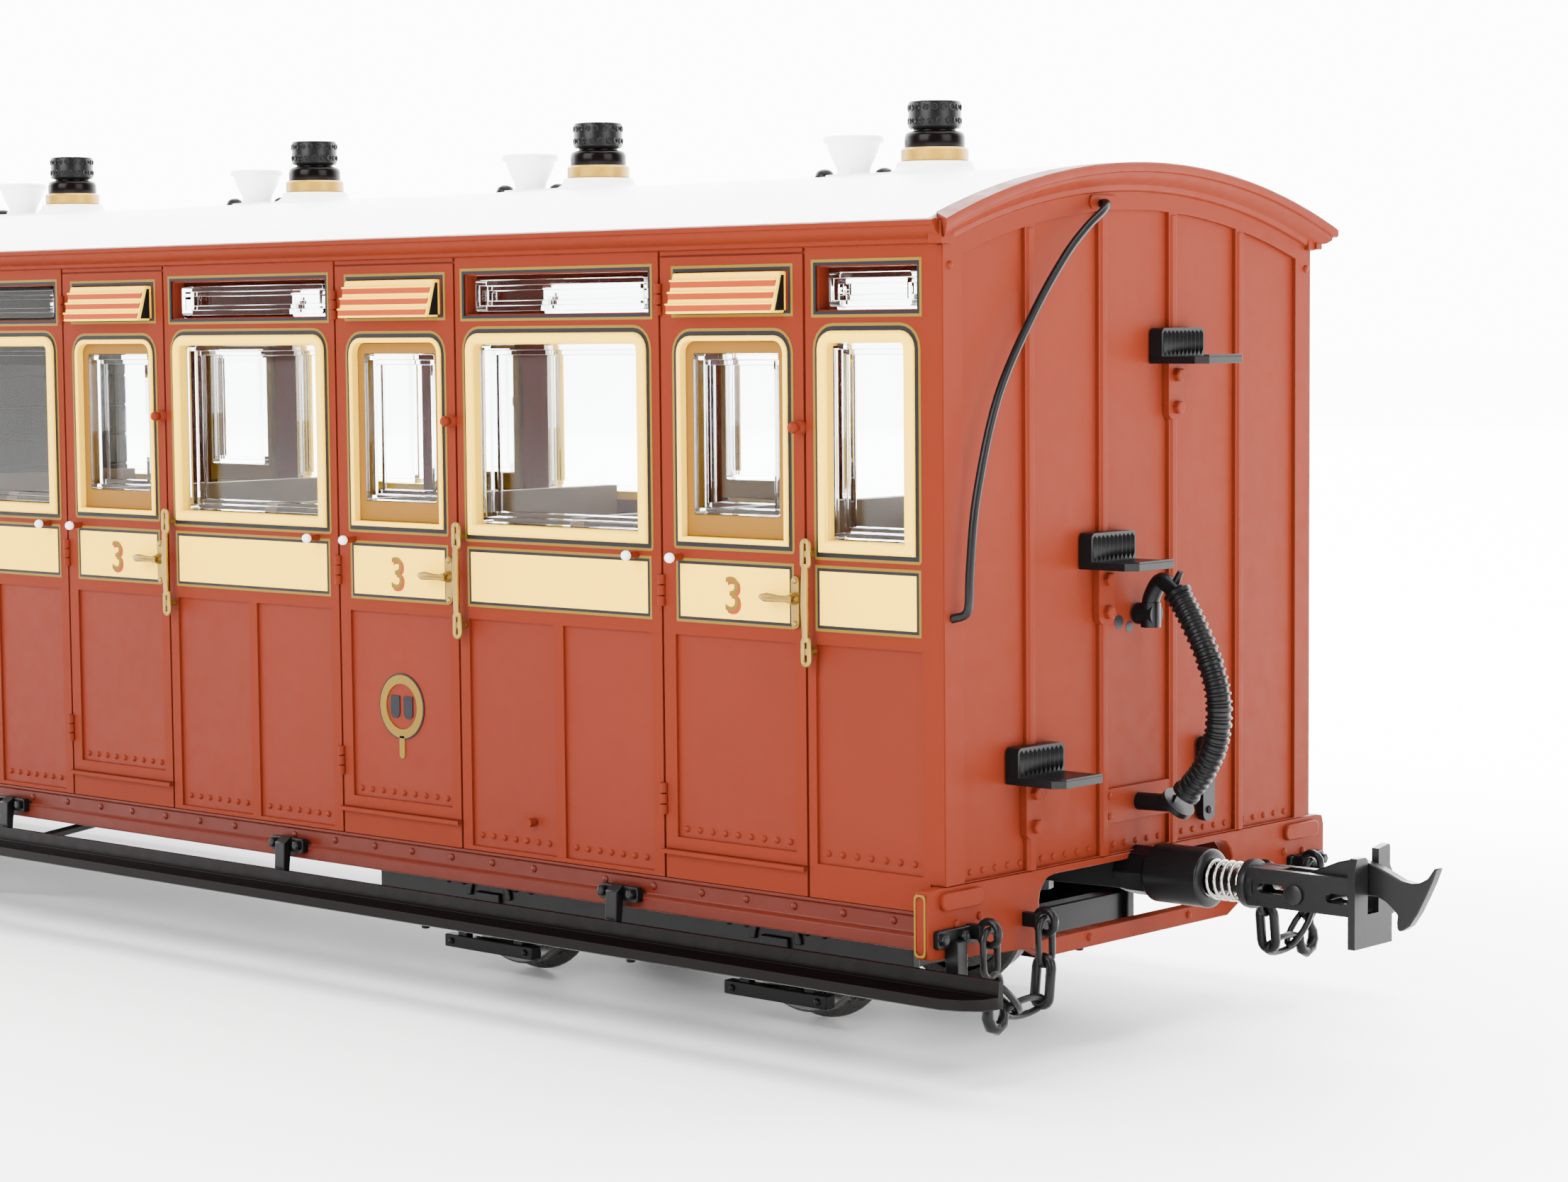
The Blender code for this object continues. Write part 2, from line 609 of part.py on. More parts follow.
def make_floor():
    limit = END_INNER - FIT
    floor = block((-limit, limit), (-INSET, INSET), (FLOOR_BOTTOM, FLOOR_TOP))
    hole_top = FLOOR_TOP - SCREW_HOLE_COVER
    shapes = []
    holes = []
    for side in (1, -1):
        pivot = side * PIVOT_X
        pad_bottom = BOLSTER_TOP + FIT
        shapes.append(block(span(pivot, 2 * BOLSTER_HALF_LENGTH), (-PAD_HALF_WIDTH, PAD_HALF_WIDTH),
                            (pad_bottom, FLOOR_BOTTOM + FIT)))
        holes.append(rod("Z", pad_bottom - FIT, hole_top, (pivot, 0), PIVOT_SCREW_RADIUS + FIT, segments=8))
        draw = side * (END_X + DRAWBAR_PIVOT)
        shapes.append(rod("Z", DRAWBAR_TOP + FIT, FLOOR_BOTTOM + FIT, (draw, 0), DRAWBAR_EYE_RADIUS))
        holes.append(rod("Z", DRAWBAR_TOP, hole_top, (draw, 0), PIVOT_SCREW_RADIUS + FIT, segments=8))
    place("chassis_floor", cut(join(floor, *shapes), *holes), "black")


def make_solebars():
    web_inner = SOLEBAR_OUTER - SOLEBAR_WEB
    upstand = web_inner - SOLEBAR_UPSTAND
    limit = HEADSTOCK_BACK - FIT
    section = [(web_inner, SOLEBAR_BOTTOM), (SOLEBAR_OUTER, SOLEBAR_BOTTOM), (SOLEBAR_OUTER, BODY_BASE - FIT),
               (INSET, BODY_BASE - FIT), (INSET, FLOOR_BOTTOM - FIT),
               (upstand, FLOOR_BOTTOM - FIT), (upstand, SOLEBAR_BOTTOM + SOLEBAR_LIP),
               (web_inner, SOLEBAR_BOTTOM + SOLEBAR_LIP)]
    solebar = slab("X", [section], -limit, limit)
    place("solebar_left", solebar, "red")
    place("solebar_right", mirrored(solebar), "red")


def make_truss_rods():
    """Rod from the floor down under two queen posts and back up, with the posts on it."""
    top = FLOOR_BOTTOM - FIT
    bend = QUEEN_POST_X + TRUSS_RADIUS
    path = [(-TRUSS_END_X, TRUSS_Y, top), (-bend, TRUSS_Y, TRUSS_LOW), (bend, TRUSS_Y, TRUSS_LOW),
            (TRUSS_END_X, TRUSS_Y, top)]
    foot = TRUSS_LOW - QUEEN_POST_FOOT
    posts = [rod("Z", foot, top, (s * QUEEN_POST_X, TRUSS_Y), QUEEN_POST_RADIUS, segments=8) for s in (1, -1)]
    truss = join(wire(path, TRUSS_RADIUS), *posts)
    place("truss_rod_left", truss, "black")
    place("truss_rod_right", mirrored(truss), "black")


def lug(y):
    """Eye standing out of the headstock that carries one end of a side chain."""
    centre = (END_X + CHAIN_X, CHAIN_EYE_HEIGHT)
    ring = rod("Y", y - LUG_THICKNESS / 2, y + LUG_THICKNESS / 2, centre, LUG_RADIUS)
    neck = block((END_X - 0.6 * MM, END_X + CHAIN_X - LUG_HOLE_RADIUS - 0.1 * MM), span(y, LUG_THICKNESS),
                 span(CHAIN_EYE_HEIGHT, 1.3 * MM))
    hole = rod("Y", y - LUG_THICKNESS, y + LUG_THICKNESS, centre, LUG_HOLE_RADIUS, segments=8)
    return ring, neck, hole


def make_headstocks():
    half = HEADSTOCK_HALF_WIDTH
    keel = HEADSTOCK_OPENING_HALF + HEADSTOCK_JAMB
    knee = HEADSTOCK_BOTTOM - HEADSTOCK_KNEE_DROP
    keel_half = keel - HEADSTOCK_KEEL_SLOPE
    outline = [(-half, HEADSTOCK_BOTTOM), (-keel, knee), (-keel_half, HEADSTOCK_KEEL),
               (keel_half, HEADSTOCK_KEEL), (keel, knee), (half, HEADSTOCK_BOTTOM), (half, HEADSTOCK_TOP),
               (-half, HEADSTOCK_TOP)]
    opening = rectangle((-HEADSTOCK_OPENING_HALF, HEADSTOCK_OPENING_HALF),
                        (HEADSTOCK_OPENING_BOTTOM, HEADSTOCK_OPENING_TOP))
    beam = slab("X", [outline, opening], HEADSTOCK_BACK, END_X)
    solids = []
    holes = []
    for y in (CHAIN_OUTER_Y, CHAIN_INNER_Y, -CHAIN_INNER_Y, -CHAIN_OUTER_Y):
        ring, neck, hole = lug(y)
        solids += [ring, neck]
        holes.append(hole)
    at_both_ends("headstock", cut(join(beam, *solids), *holes), "red")


def make_footboards():
    end = END_X + FOOTBOARD_OVERRUN
    lip = 0.5 * MM
    bottom = FOOTBOARD_TOP - FOOTBOARD_THICKNESS
    section = [(FOOTBOARD_INNER, bottom), (FOOTBOARD_OUTER, bottom), (FOOTBOARD_OUTER, FOOTBOARD_TOP),
               (FOOTBOARD_INNER + lip, FOOTBOARD_TOP), (FOOTBOARD_INNER + lip, FOOTBOARD_RISER),
               (FOOTBOARD_INNER, FOOTBOARD_RISER)]
    board = slab("X", [section], -end, end)
    face = SOLEBAR_OUTER + FIT
    brackets = []
    for i in range(-BRACKET_PAIRS, BRACKET_PAIRS + 1):
        x = span(i * BRACKET_SPACING, BRACKET_WIDTH)
        brackets.append(block(x, (face, face + 0.5 * MM), (SOLEBAR_BOTTOM - 1 * MM, BODY_BASE - 1.1 * MM)))
        arm = span(i * BRACKET_SPACING, BRACKET_WIDTH - 0.6 * MM)
        brackets.append(block(arm, (face + 0.2 * MM, FOOTBOARD_INNER + lip / 2),
                              (FOOTBOARD_TOP + 0.2 * MM, SOLEBAR_BOTTOM - 0.8 * MM)))
    for s in (1, -1):
        near = END_X + FIT
        x = sorted((s * near, s * (near + 0.9 * MM)))
        y = (CHAIN_OUTER_Y + CHAIN_LINK_HALF + CHAIN_WIRE + FIT, FOOTBOARD_INNER + lip / 2)
        brackets.append(block(x, y, (FOOTBOARD_TOP - 0.2 * MM, BODY_BASE - 0.6 * MM)))
    footboard = join(board, *brackets)
    place("footboard_left", footboard, "black")
    place("footboard_right", mirrored(footboard), "black")


# ---- bogies ----

def frame_outline():
    """Side frame seen from the side, with its two axle guards, about the pivot."""
    axle = WHEELBASE / 2
    outer_foot = BOGIE_FRAME_BOTTOM + 0.3 * MM
    points = [(-BOGIE_HALF_LENGTH, BOGIE_FRAME_BOTTOM + 1 * MM)]
    for centre, feet in ((-axle, (outer_foot, BOGIE_FRAME_BOTTOM)), (axle, (BOGIE_FRAME_BOTTOM, outer_foot))):
        points += [(centre - KEEPER_HALF - 1 * MM, feet[0]), (centre - KEEPER_HALF, KEEPER_BOTTOM),
                   (centre + KEEPER_HALF, KEEPER_BOTTOM), (centre + KEEPER_HALF + 1 * MM, feet[1])]
    points += [(BOGIE_HALF_LENGTH, BOGIE_FRAME_BOTTOM + 1 * MM), (BOGIE_HALF_LENGTH, BOGIE_FRAME_TOP),
               (-BOGIE_HALF_LENGTH, BOGIE_FRAME_TOP)]
    return [(PIVOT_X + u, v) for u, v in points]


def make_bogies():
    outer = BOGIE_FRAME_INNER + BOGIE_FRAME_THICKNESS
    reach = BOGIE_FRAME_INNER + BOGIE_FRAME_THICKNESS / 2
    sides = [slab("Y", [frame_outline()], *sorted((s * BOGIE_FRAME_INNER, s * outer))) for s in (1, -1)]
    bars = [block(span(PIVOT_X, 2 * BOLSTER_HALF_LENGTH), (-reach, reach), (BOLSTER_BOTTOM, BOLSTER_TOP))]
    for s in (1, -1):
        middle = PIVOT_X + s * (BOGIE_HALF_LENGTH - END_BAR_INSET)
        bars.append(block(span(middle, END_BAR_WIDTH), (-reach, reach),
                          (BOGIE_FRAME_TOP - END_BAR_DROP, BOGIE_FRAME_TOP - FIT)))
    hole_end = BOGIE_FRAME_INNER + JOURNAL_REACH + FIT
    screw_hole = PIVOT_SCREW_RADIUS + FIT
    holes = [rod("Z", BOLSTER_BOTTOM - FIT, BOLSTER_TOP + FIT, (PIVOT_X, 0), screw_hole, segments=8)]
    for s in (1, -1):
        centre = (PIVOT_X + s * WHEELBASE / 2, AXLE_HEIGHT)
        holes.append(rod("Y", -hole_end, hole_end, centre, JOURNAL_RADIUS + FIT, segments=8))
    frame = cut(join(bars[0], *bars[1:], *sides), *holes)
    at_both_ends("bogie_frame", frame, "blackened", pivot=(PIVOT_X, 0, BOLSTER_TOP))
    tip = FLOOR_TOP - SCREW_HOLE_COVER - FIT
    screw = pivot_screw(PIVOT_X, BOLSTER_BOTTOM - FIT, tip, PIVOT_HEAD_RADIUS, PIVOT_HEAD_HEIGHT)
    at_both_ends("bogie_pivot_screw", screw, "steel", pivot=(PIVOT_X, 0, BOLSTER_TOP))
    make_wheelsets()


def pivot_screw(x, head_top, tip, head_radius, head_height):
    profile = [(0, tip), (PIVOT_SCREW_RADIUS, tip), (PIVOT_SCREW_RADIUS, head_top), (head_radius, head_top),
               (head_radius, head_top - head_height), (0, head_top - head_height)]
    screw = turned(profile, 10)
    screw.transform(Matrix.Translation((x, 0, 0)))
    return screw


def axle_mesh(x):
    tip = BOGIE_FRAME_INNER + JOURNAL_REACH
    shoulder = BOGIE_FRAME_INNER - FIT
    profile = [(0, tip), (JOURNAL_RADIUS, tip), (JOURNAL_RADIUS, shoulder), (AXLE_RADIUS, shoulder),
               (AXLE_RADIUS, -shoulder), (JOURNAL_RADIUS, -shoulder), (JOURNAL_RADIUS, -tip), (0, -tip)]
    return turned(profile, 10, "Y", (x, AXLE_HEIGHT))


def wheel_mesh(x):
    """Wheel on the +Y end of an axle; its flange is on the inner side."""
    back = BACK_TO_BACK / 2
    front = back + WHEEL_WIDTH
    bore = AXLE_RADIUS + FINE_FIT
    flange = back + FLANGE_WIDTH
    profile = [(bore, front), (WHEEL_RADIUS - TREAD_TAPER, front), (WHEEL_RADIUS, flange),
               (FLANGE_RADIUS, flange - FLANGE_CHAMFER), (FLANGE_RADIUS, back + FLANGE_CHAMFER),
               (FLANGE_RADIUS - 2 * FLANGE_CHAMFER, back), (bore, back)]
    return turned(profile, 16, "Y", (x, AXLE_HEIGHT))


def make_wheelsets():
    number = 0
    for end, half_turn in (("front", False), ("rear", True)):
        for s in (1, -1):
            number += 1
            x = PIVOT_X + s * WHEELBASE / 2
            pivot = (x, 0, AXLE_HEIGHT)
            place(f"axle_{number}", axle_mesh(x), "steel", pivot, half_turn)
            wheel = wheel_mesh(x)
            left, right = ("right", "left") if half_turn else ("left", "right")
            place(f"wheel_{number}_{left}", wheel, "steel", pivot, half_turn)
            place(f"wheel_{number}_{right}", mirrored(wheel), "steel", pivot, half_turn)


# ---- drawgear ----

def make_drawbars():
    pivot = END_X + DRAWBAR_PIVOT
    back = END_X + SOCKET_BACK
    front = END_X + SOCKET_FRONT
    arm = block((pivot, back + ARM_LAP), (-DRAWBAR_HALF_WIDTH, DRAWBAR_HALF_WIDTH),
                (DRAWBAR_BOTTOM, DRAWBAR_TOP))
    eye = rod("Z", DRAWBAR_BOTTOM, DRAWBAR_TOP, (pivot, 0), DRAWBAR_EYE_RADIUS)
    tube = rod("X", back, front, (0, DRAWGEAR_HEIGHT), SOCKET_RADIUS, segments=16)
    bore = rod("X", back + SOCKET_END_WALL, front + FIT, (0, DRAWGEAR_HEIGHT), SOCKET_BORE, segments=10)
    hole = rod("Z", DRAWBAR_BOTTOM - FIT, DRAWBAR_TOP + FIT, (pivot, 0), PIVOT_SCREW_RADIUS + FIT, segments=8)
    centre = (pivot, 0, DRAWGEAR_HEIGHT)
    at_both_ends("drawbar_socket", cut(join(arm, eye, tube), bore, hole), "black", centre)
    tip = FLOOR_TOP - SCREW_HOLE_COVER - FIT
    screw = pivot_screw(pivot, DRAWBAR_BOTTOM - FIT, tip, DRAWBAR_HEAD_RADIUS, DRAWBAR_HEAD_HEIGHT)
    at_both_ends("drawbar_pivot_screw", screw, "steel", centre)


def make_springs():
    start = END_X + SOCKET_FRONT + FINE_FIT + SPRING_WIRE
    end = END_X + SHANK_COLLAR_X - FINE_FIT - SPRING_WIRE
    per_turn = 8
    count = int(SPRING_TURNS * per_turn)
    points = []
    for i in range(count + 1):
        angle = 2 * math.pi * i / per_turn
        x = start + (end - start) * i / count
        points.append((x, SPRING_RADIUS * math.cos(angle), DRAWGEAR_HEIGHT + SPRING_RADIUS * math.sin(angle)))
    at_both_ends("coupler_spring", wire(points, SPRING_WIRE), "steel")


def make_shanks():
    level = DRAWGEAR_HEIGHT
    collar = END_X + SHANK_COLLAR_X
    block_back = collar + SHANK_COLLAR_THICKNESS / 2
    rod_shape = rod("X", END_X + SHANK_TAIL, block_back, (0, level), SHANK_ROD_RADIUS, segments=10)
    disc = rod("X", collar, collar + SHANK_COLLAR_THICKNESS, (0, level), SHANK_COLLAR_RADIUS)
    fork = block((block_back, END_X + BUFFER_BACK + FORK_LAP), (-SHANK_HALF_WIDTH, SHANK_HALF_WIDTH),
                 (level - SHANK_DROP, level + SHANK_RISE))
    half = BUFFER_HALF_WIDTH
    top = level + BUFFER_RISE
    horn = level + BUFFER_HORN_RISE
    inner = HOOK_SLOT_HALF
    foot = level - BUFFER_DROP
    low_horn = horn - LOW_HORN_DROP
    outline = [(-half, foot), (half, foot), (half, top), (inner + HORN_WIDTH, horn), (inner / 2, horn),
               (-inner / 2, low_horn), (-inner - LOW_HORN_WIDTH, low_horn), (-half, top)]
    plate = slab("X", [outline], END_X + BUFFER_BACK, END_X + BUFFER_FRONT)
    slot = block((END_X + HOOK_SLOT_BACK, END_X + BUFFER_BACK), (-inner, inner),
                 (level - SHANK_DROP - FIT, level + SHANK_RISE + FIT))
    notch = block((END_X + HOOK_PIN_X, END_X + BUFFER_FRONT + FIT), (-inner, inner),
                  (level + HOOK_SLOT_FLOOR, horn + FIT))
    pin = rod("Y", -SHANK_HALF_WIDTH + FORK_LAP, SHANK_HALF_WIDTH - FORK_LAP,
              (END_X + HOOK_PIN_X, level + HOOK_PIN_Z), HOOK_PIN_RADIUS, segments=8)
    shank = join(cut(join(rod_shape, disc, fork, plate), slot, notch), pin)
    at_both_ends("coupler_shank", shank, "blackened")


def make_hooks():
    """Hinged hook: an eye round the pin, a humped back, a rising tip and a barb that hangs over the plate."""
    pin_x = END_X + HOOK_PIN_X
    pin_z = DRAWGEAR_HEIGHT + HOOK_PIN_Z
    eye = HOOK_EYE_RADIUS
    tail = [(pin_x + eye * math.cos(math.radians(a)), pin_z + eye * math.sin(math.radians(a)))
            for a in (110, 145, 180, 215, 250, 285)]
    profile = ((18.5, 0.25), (20.15, -0.1), (21.0, -0.88), (21.0, -1.95), (21.9, -1.5), (23.0, 0.4),
               (23.93, 2.5), (22.9, 1.6), (22.0, 1.35), (20.4, 1.8), (18.9, 2.35), (17.4, 2.45), (15.7, 1.9),
               (14.0, 1.2))
    front = [(END_X + u * MM, DRAWGEAR_HEIGHT + v * MM) for u, v in profile]
    half = HOOK_THICKNESS / 2
    plate = slab("Y", [tail + front], -half, half)
    hole = rod("Y", -half - FIT, half + FIT, (pin_x, pin_z), HOOK_PIN_RADIUS + FINE_FIT, segments=8)
    at_both_ends("coupling_hook", cut(plate, hole), "blackened", pivot=(pin_x, 0, pin_z))


def link_loop(y, top, bottom):
    """Oval link in the plane across the coach, hanging from its top bar."""
    x = END_X + CHAIN_X
    half = CHAIN_LINK_HALF
    round_z = half * 0.6
    path = [(x, y - half * 0.6, top), (x, y + half * 0.6, top), (x, y + half, top - round_z),
            (x, y + half, bottom + round_z), (x, y + half * 0.6, bottom), (x, y - half * 0.6, bottom),
            (x, y - half, bottom + round_z), (x, y - half, top - round_z)]
    return wire(path, CHAIN_WIRE, closed=True)


def make_side_chains():
    x = END_X + CHAIN_X
    eye = CHAIN_EYE_HEIGHT
    outer = link_loop(CHAIN_OUTER_Y, eye, eye - 2.9 * MM)
    inner = link_loop(CHAIN_INNER_Y, eye, eye - 2.9 * MM)
    run = [(x, CHAIN_INNER_Y, eye - 2.7 * MM), (x, CHAIN_INNER_Y + 0.2 * MM, eye - 4.3 * MM),
           (x, CHAIN_INNER_Y + 1.2 * MM, eye - 5.1 * MM), (x, CHAIN_INNER_Y + 3.2 * MM, eye - 5.5 * MM),
           (x, CHAIN_OUTER_Y - 1.4 * MM, eye - 4.4 * MM), (x, CHAIN_OUTER_Y - 0.2 * MM, eye - 2.7 * MM)]
    hook = [(x, CHAIN_OUTER_Y - 0.6 * MM, eye - 3.6 * MM), (x, CHAIN_OUTER_Y + 0.1 * MM, eye - 5.6 * MM),
            (x, CHAIN_OUTER_Y - 0.6 * MM, eye - 6.6 * MM), (x, CHAIN_OUTER_Y - 1.5 * MM, eye - 6.2 * MM)]
    chain = join(wire(run, 0.4 * MM), outer, inner, wire(hook, 0.35 * MM))
    pivot = (x, 0, eye)
    half_turn_names = (("left", "right"), ("right", "left"))
    for end, names, turn in (("front", half_turn_names[0], False), ("rear", half_turn_names[1], True)):
        place(f"side_chain_{end}_{names[0]}", chain, "blackened", pivot, turn)
        place(f"side_chain_{end}_{names[1]}", mirrored(chain), "blackened", pivot, turn)


# ---- end fittings ----

def smooth_path(points, samples):
    """Points along a Catmull-Rom curve through the given points."""
    ends = [points[0] * 2 - points[1], *points, points[-1] * 2 - points[-2]]
    path = []
    for a, b, c, d in zip(ends, ends[1:], ends[2:], ends[3:]):
        for i in range(samples):
            t = i / samples
            path.append(0.5 * ((2 * b) + (c - a) * t + (2 * a - 5 * b + 4 * c - d) * t * t
                               + (3 * b - a - 3 * c + d) * t ** 3))
    path.append(points[-1])
    return path


def end_points(rows):
    """(out from the end, y, height above the body's underside) in millimetres to positions."""
    return [Vector((END_X + x * MM, y * MM, BODY_BASE + z * MM)) for x, y, z in rows]


def make_hoses():
    """Brake hose: swan neck at the top, fat flexible bow, dummy coupling at the bottom."""
    route = end_points(((0.3, 0, 18.15), (0.85, 0, 18.3), (1.1, 0, 19.4), (1.95, 0, 20.5), (3.2, 0, 19.8),
                        (4.5, 0, 17.85), (5.8, 0, 15.4), (6.6, 0, 12.85), (6.5, 0, 10.2), (5.5, 0, 7.9),
                        (3.9, 0, 6.0), (2.4, 0, 5.3), (0.3, 0, 5.2)))
    path = smooth_path(route, 2)
    pipe = PIPE_RADIUS / HOSE_RADIUS
    last = len(path) - 1
    radii = [pipe if i < 6 or i > last - 4 else 1 for i in range(len(path))]
    at_both_ends("vacuum_hose", wire(path, HOSE_RADIUS, radii), "rubber")


def make_end_rails():
    """Curved rail beside the steps, standing off the end and bent back into it at both ends."""
    route = end_points(((0.3, -4.4, 46.0), (1.1, -5.2, 45.8), (1.2, -7.5, 44.4), (1.2, -9.9, 42.4),
                        (1.2, -13.3, 38.6),
                        (1.2, -16.7, 33.4), (1.2, -18.7, 27.1), (1.2, -19.2, 22.5), (1.1, -19.2, 19.9),
                        (0.3, -19.2, 19.3)))
    at_both_ends("end_rail", wire(smooth_path(route, 2), RAIL_RADIUS), "black")


def build_coach():
    make_sides()
    make_ends()
    make_roof()
    make_lamps()
    make_interior()
    make_floor()
    make_solebars()
    make_truss_rods()
    make_headstocks()
    make_footboards()
    make_bogies()
    make_drawbars()
    make_springs()
    make_shanks()
    make_hooks()
    make_side_chains()
    make_hoses()
    make_end_rails()


build_coach()
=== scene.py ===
"""Looks of the narrow-gauge passenger coach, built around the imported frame.

Shapes are written in millimetres in the frame's own axes: +X front, +Y left,
+Z up, zero at the rail line. Heights of a side's parts are above the underside
of the side panels (BASE). The coach is the same turned half a turn about Z, so
each side or end piece is made once and twinned.
"""
import math

import bmesh
import bpy
from mathutils import Matrix, Vector


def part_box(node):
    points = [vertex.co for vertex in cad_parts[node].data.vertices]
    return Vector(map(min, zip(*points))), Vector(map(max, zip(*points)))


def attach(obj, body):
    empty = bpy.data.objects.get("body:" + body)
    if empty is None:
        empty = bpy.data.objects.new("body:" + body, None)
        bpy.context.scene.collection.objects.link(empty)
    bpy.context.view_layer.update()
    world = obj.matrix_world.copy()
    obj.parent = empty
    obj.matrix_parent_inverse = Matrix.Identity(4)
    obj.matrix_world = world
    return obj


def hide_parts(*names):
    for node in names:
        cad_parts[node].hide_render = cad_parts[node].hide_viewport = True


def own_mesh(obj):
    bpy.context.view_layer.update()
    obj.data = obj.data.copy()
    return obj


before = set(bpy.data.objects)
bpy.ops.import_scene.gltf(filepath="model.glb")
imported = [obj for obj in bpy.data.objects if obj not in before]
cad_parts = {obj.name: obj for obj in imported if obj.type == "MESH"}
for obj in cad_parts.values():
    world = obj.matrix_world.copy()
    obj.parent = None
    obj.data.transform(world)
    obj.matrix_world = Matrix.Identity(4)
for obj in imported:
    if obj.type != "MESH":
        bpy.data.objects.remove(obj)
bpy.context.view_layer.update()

MM = 0.001
TO_METRES = Matrix.Diagonal((MM, MM, MM, 1))
HALF_TURN = Matrix.Rotation(math.pi, 4, "Z")
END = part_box("side_right")[1].x / MM           # end of the body
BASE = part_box("side_right")[0].z / MM          # underside of the side panels
FACE = -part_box("side_right")[0].y / MM         # outer face of the side panels
PITCH = 34.14
DOORS = [END - 18.55 - i * PITCH for i in range(8)]
BAYS = [x - PITCH / 2 for x in DOORS[:-1]]
QUARTERS = [END - 6.47, -END + 6.47]
ROOF_R = 61.8
ROOF_Z = BASE + 48.9 - ROOF_R                  # centre of the roof's arc
CROWN = ROOF_Z + ROOF_R                        # top of the roof


# ---- materials ----

def shader_of(name):
    material = bpy.data.materials.new(name)
    material.use_nodes = True
    return material, material.node_tree, material.node_tree.nodes["Principled BSDF"]


def node(tree, kind, **values):
    made = tree.nodes.new(kind)
    for key, value in values.items():
        setattr(made, key, value)
    return made


def noise(tree, scale, detail=3.0, stretch=(1, 1, 1)):
    """Noise over the object's own coordinates; scale is per metre."""
    where = node(tree, "ShaderNodeTexCoord")
    mapping = node(tree, "ShaderNodeMapping")
    mapping.inputs["Scale"].default_value = stretch
    texture = node(tree, "ShaderNodeTexNoise")
    texture.inputs["Scale"].default_value = scale
    texture.inputs["Detail"].default_value = detail
    tree.links.new(where.outputs["Object"], mapping.inputs["Vector"])
    tree.links.new(mapping.outputs["Vector"], texture.inputs["Vector"])
    return texture


def ramp(tree, source, stops):
    made = node(tree, "ShaderNodeValToRGB")
    while len(made.color_ramp.elements) < len(stops):
        made.color_ramp.elements.new(0.5)
    for element, (place, colour) in zip(made.color_ramp.elements, stops):
        element.position = place
        element.color = colour
    tree.links.new(source, made.inputs["Fac"])
    return made.outputs["Color"]


def shade(colour, factor):
    return (*[min(1, c * factor) for c in colour], 1)


def grey(value):
    return (value, value, value, 1)


def finish(name, colour, rough, metal=0.0, coat=0.0, vary=0.06, rough_vary=0.08, bump=0.03, grain=900,
           stretch=(1, 1, 1), specular=0.5):
    """Painted or metal surface: soft colour variation, uneven gloss and a fine skin texture."""
    material, tree, shader = shader_of(name)
    broad = noise(tree, 55, 4.0)
    low, high = shade(colour, 1 - vary), shade(colour, 1 + vary)
    tree.links.new(ramp(tree, broad.outputs["Fac"], [(0.3, low), (0.7, high)]), shader.inputs["Base Color"])
    fine = noise(tree, grain, 4.0, stretch)
    stops = [(0.3, grey(rough - rough_vary)), (0.7, grey(rough + rough_vary))]
    tree.links.new(ramp(tree, fine.outputs["Fac"], stops), shader.inputs["Roughness"])
    relief = node(tree, "ShaderNodeBump")
    relief.inputs["Strength"].default_value = bump
    relief.inputs["Distance"].default_value = 0.05 * MM
    tree.links.new(fine.outputs["Fac"], relief.inputs["Height"])
    tree.links.new(relief.outputs["Normal"], shader.inputs["Normal"])
    shader.inputs["Metallic"].default_value = metal
    shader.inputs["Coat Weight"].default_value = coat
    shader.inputs["Coat Roughness"].default_value = 0.12
    shader.inputs["Specular IOR Level"].default_value = specular
    return material


def clear_plastic():
    """Moulded clear glazing: mostly see-through, faintly uneven."""
    material, tree, shader = shader_of("clear_glazing")
    fine = noise(tree, 300, 2.0)
    stops = [(0.35, grey(0.0)), (0.7, grey(0.03))]
    tree.links.new(ramp(tree, fine.outputs["Fac"], stops), shader.inputs["Roughness"])
    shader.inputs["Base Color"].default_value = (0.93, 0.95, 0.95, 1)
    shader.inputs["Transmission Weight"].default_value = 1.0
    shader.inputs["IOR"].default_value = 1.2
    return material


RED = finish("side_paint", (0.096, 0.0128, 0.0050), 0.44, specular=0.03, vary=0.03)
DEEP_RED = finish("reveal_red", (0.093, 0.0110, 0.0040), 0.44, specular=0.06)
# Painted shade: the solebars get a darker red than the side, standing for the shade under the body's
# overhang.
SHADED_SOLEBAR_RED = finish("solebar_painted_shade_red", (0.058, 0.0068, 0.0027), 0.40, specular=0.10)
CREAM = finish("lining_cream", (0.84, 0.50, 0.020), 0.40, specular=0.05, vary=0.015)
TAN = finish("droplight_tan", (0.150, 0.068, 0.0085), 0.44, vary=0.04, specular=0.05)
GOLD = finish("gold_line", (0.120, 0.072, 0.008), 0.40, vary=0.1, specular=0.06)
LINE = finish("black_line", (0.006, 0.006, 0.008), 0.45, specular=0.1)
WHITE = finish("roof_paint", (0.95, 0.95, 0.95), 0.45, vary=0.01)
BLACK = finish("moulded_black", (0.003, 0.003, 0.0033), 0.32, rough_vary=0.03, bump=0.03, specular=0.11)
GLOSS = finish("footboard_gloss", (0.002, 0.001, 0.001), 0.20, rough_vary=0.03, bump=0.006, specular=0.06)
BRASS = finish("cast_brass", (0.21, 0.125, 0.020), 0.34, metal=0.7, bump=0.25, grain=2500, vary=0.15)
LAMP_GOLD = finish("lamp_gold", (0.30, 0.165, 0.005), 0.34, metal=0.5, bump=0.2, grain=3000, vary=0.12)
STEEL = finish("spring_steel", (0.34, 0.33, 0.30), 0.24, metal=1.0, grain=2500)
TYRE = finish("turned_steel", (0.10, 0.097, 0.092), 0.30, metal=1.0, grain=4000, bump=0.12)
OXIDE = finish("dark_iron", (0.006, 0.006, 0.0064), 0.32, metal=0.3, rough_vary=0.05, bump=0.1, grain=1600,
               vary=0.25, specular=0.14)
RUBBER = finish("hose_rubber", (0.003, 0.003, 0.003), 0.34, bump=0.1, grain=2600, specular=0.11)
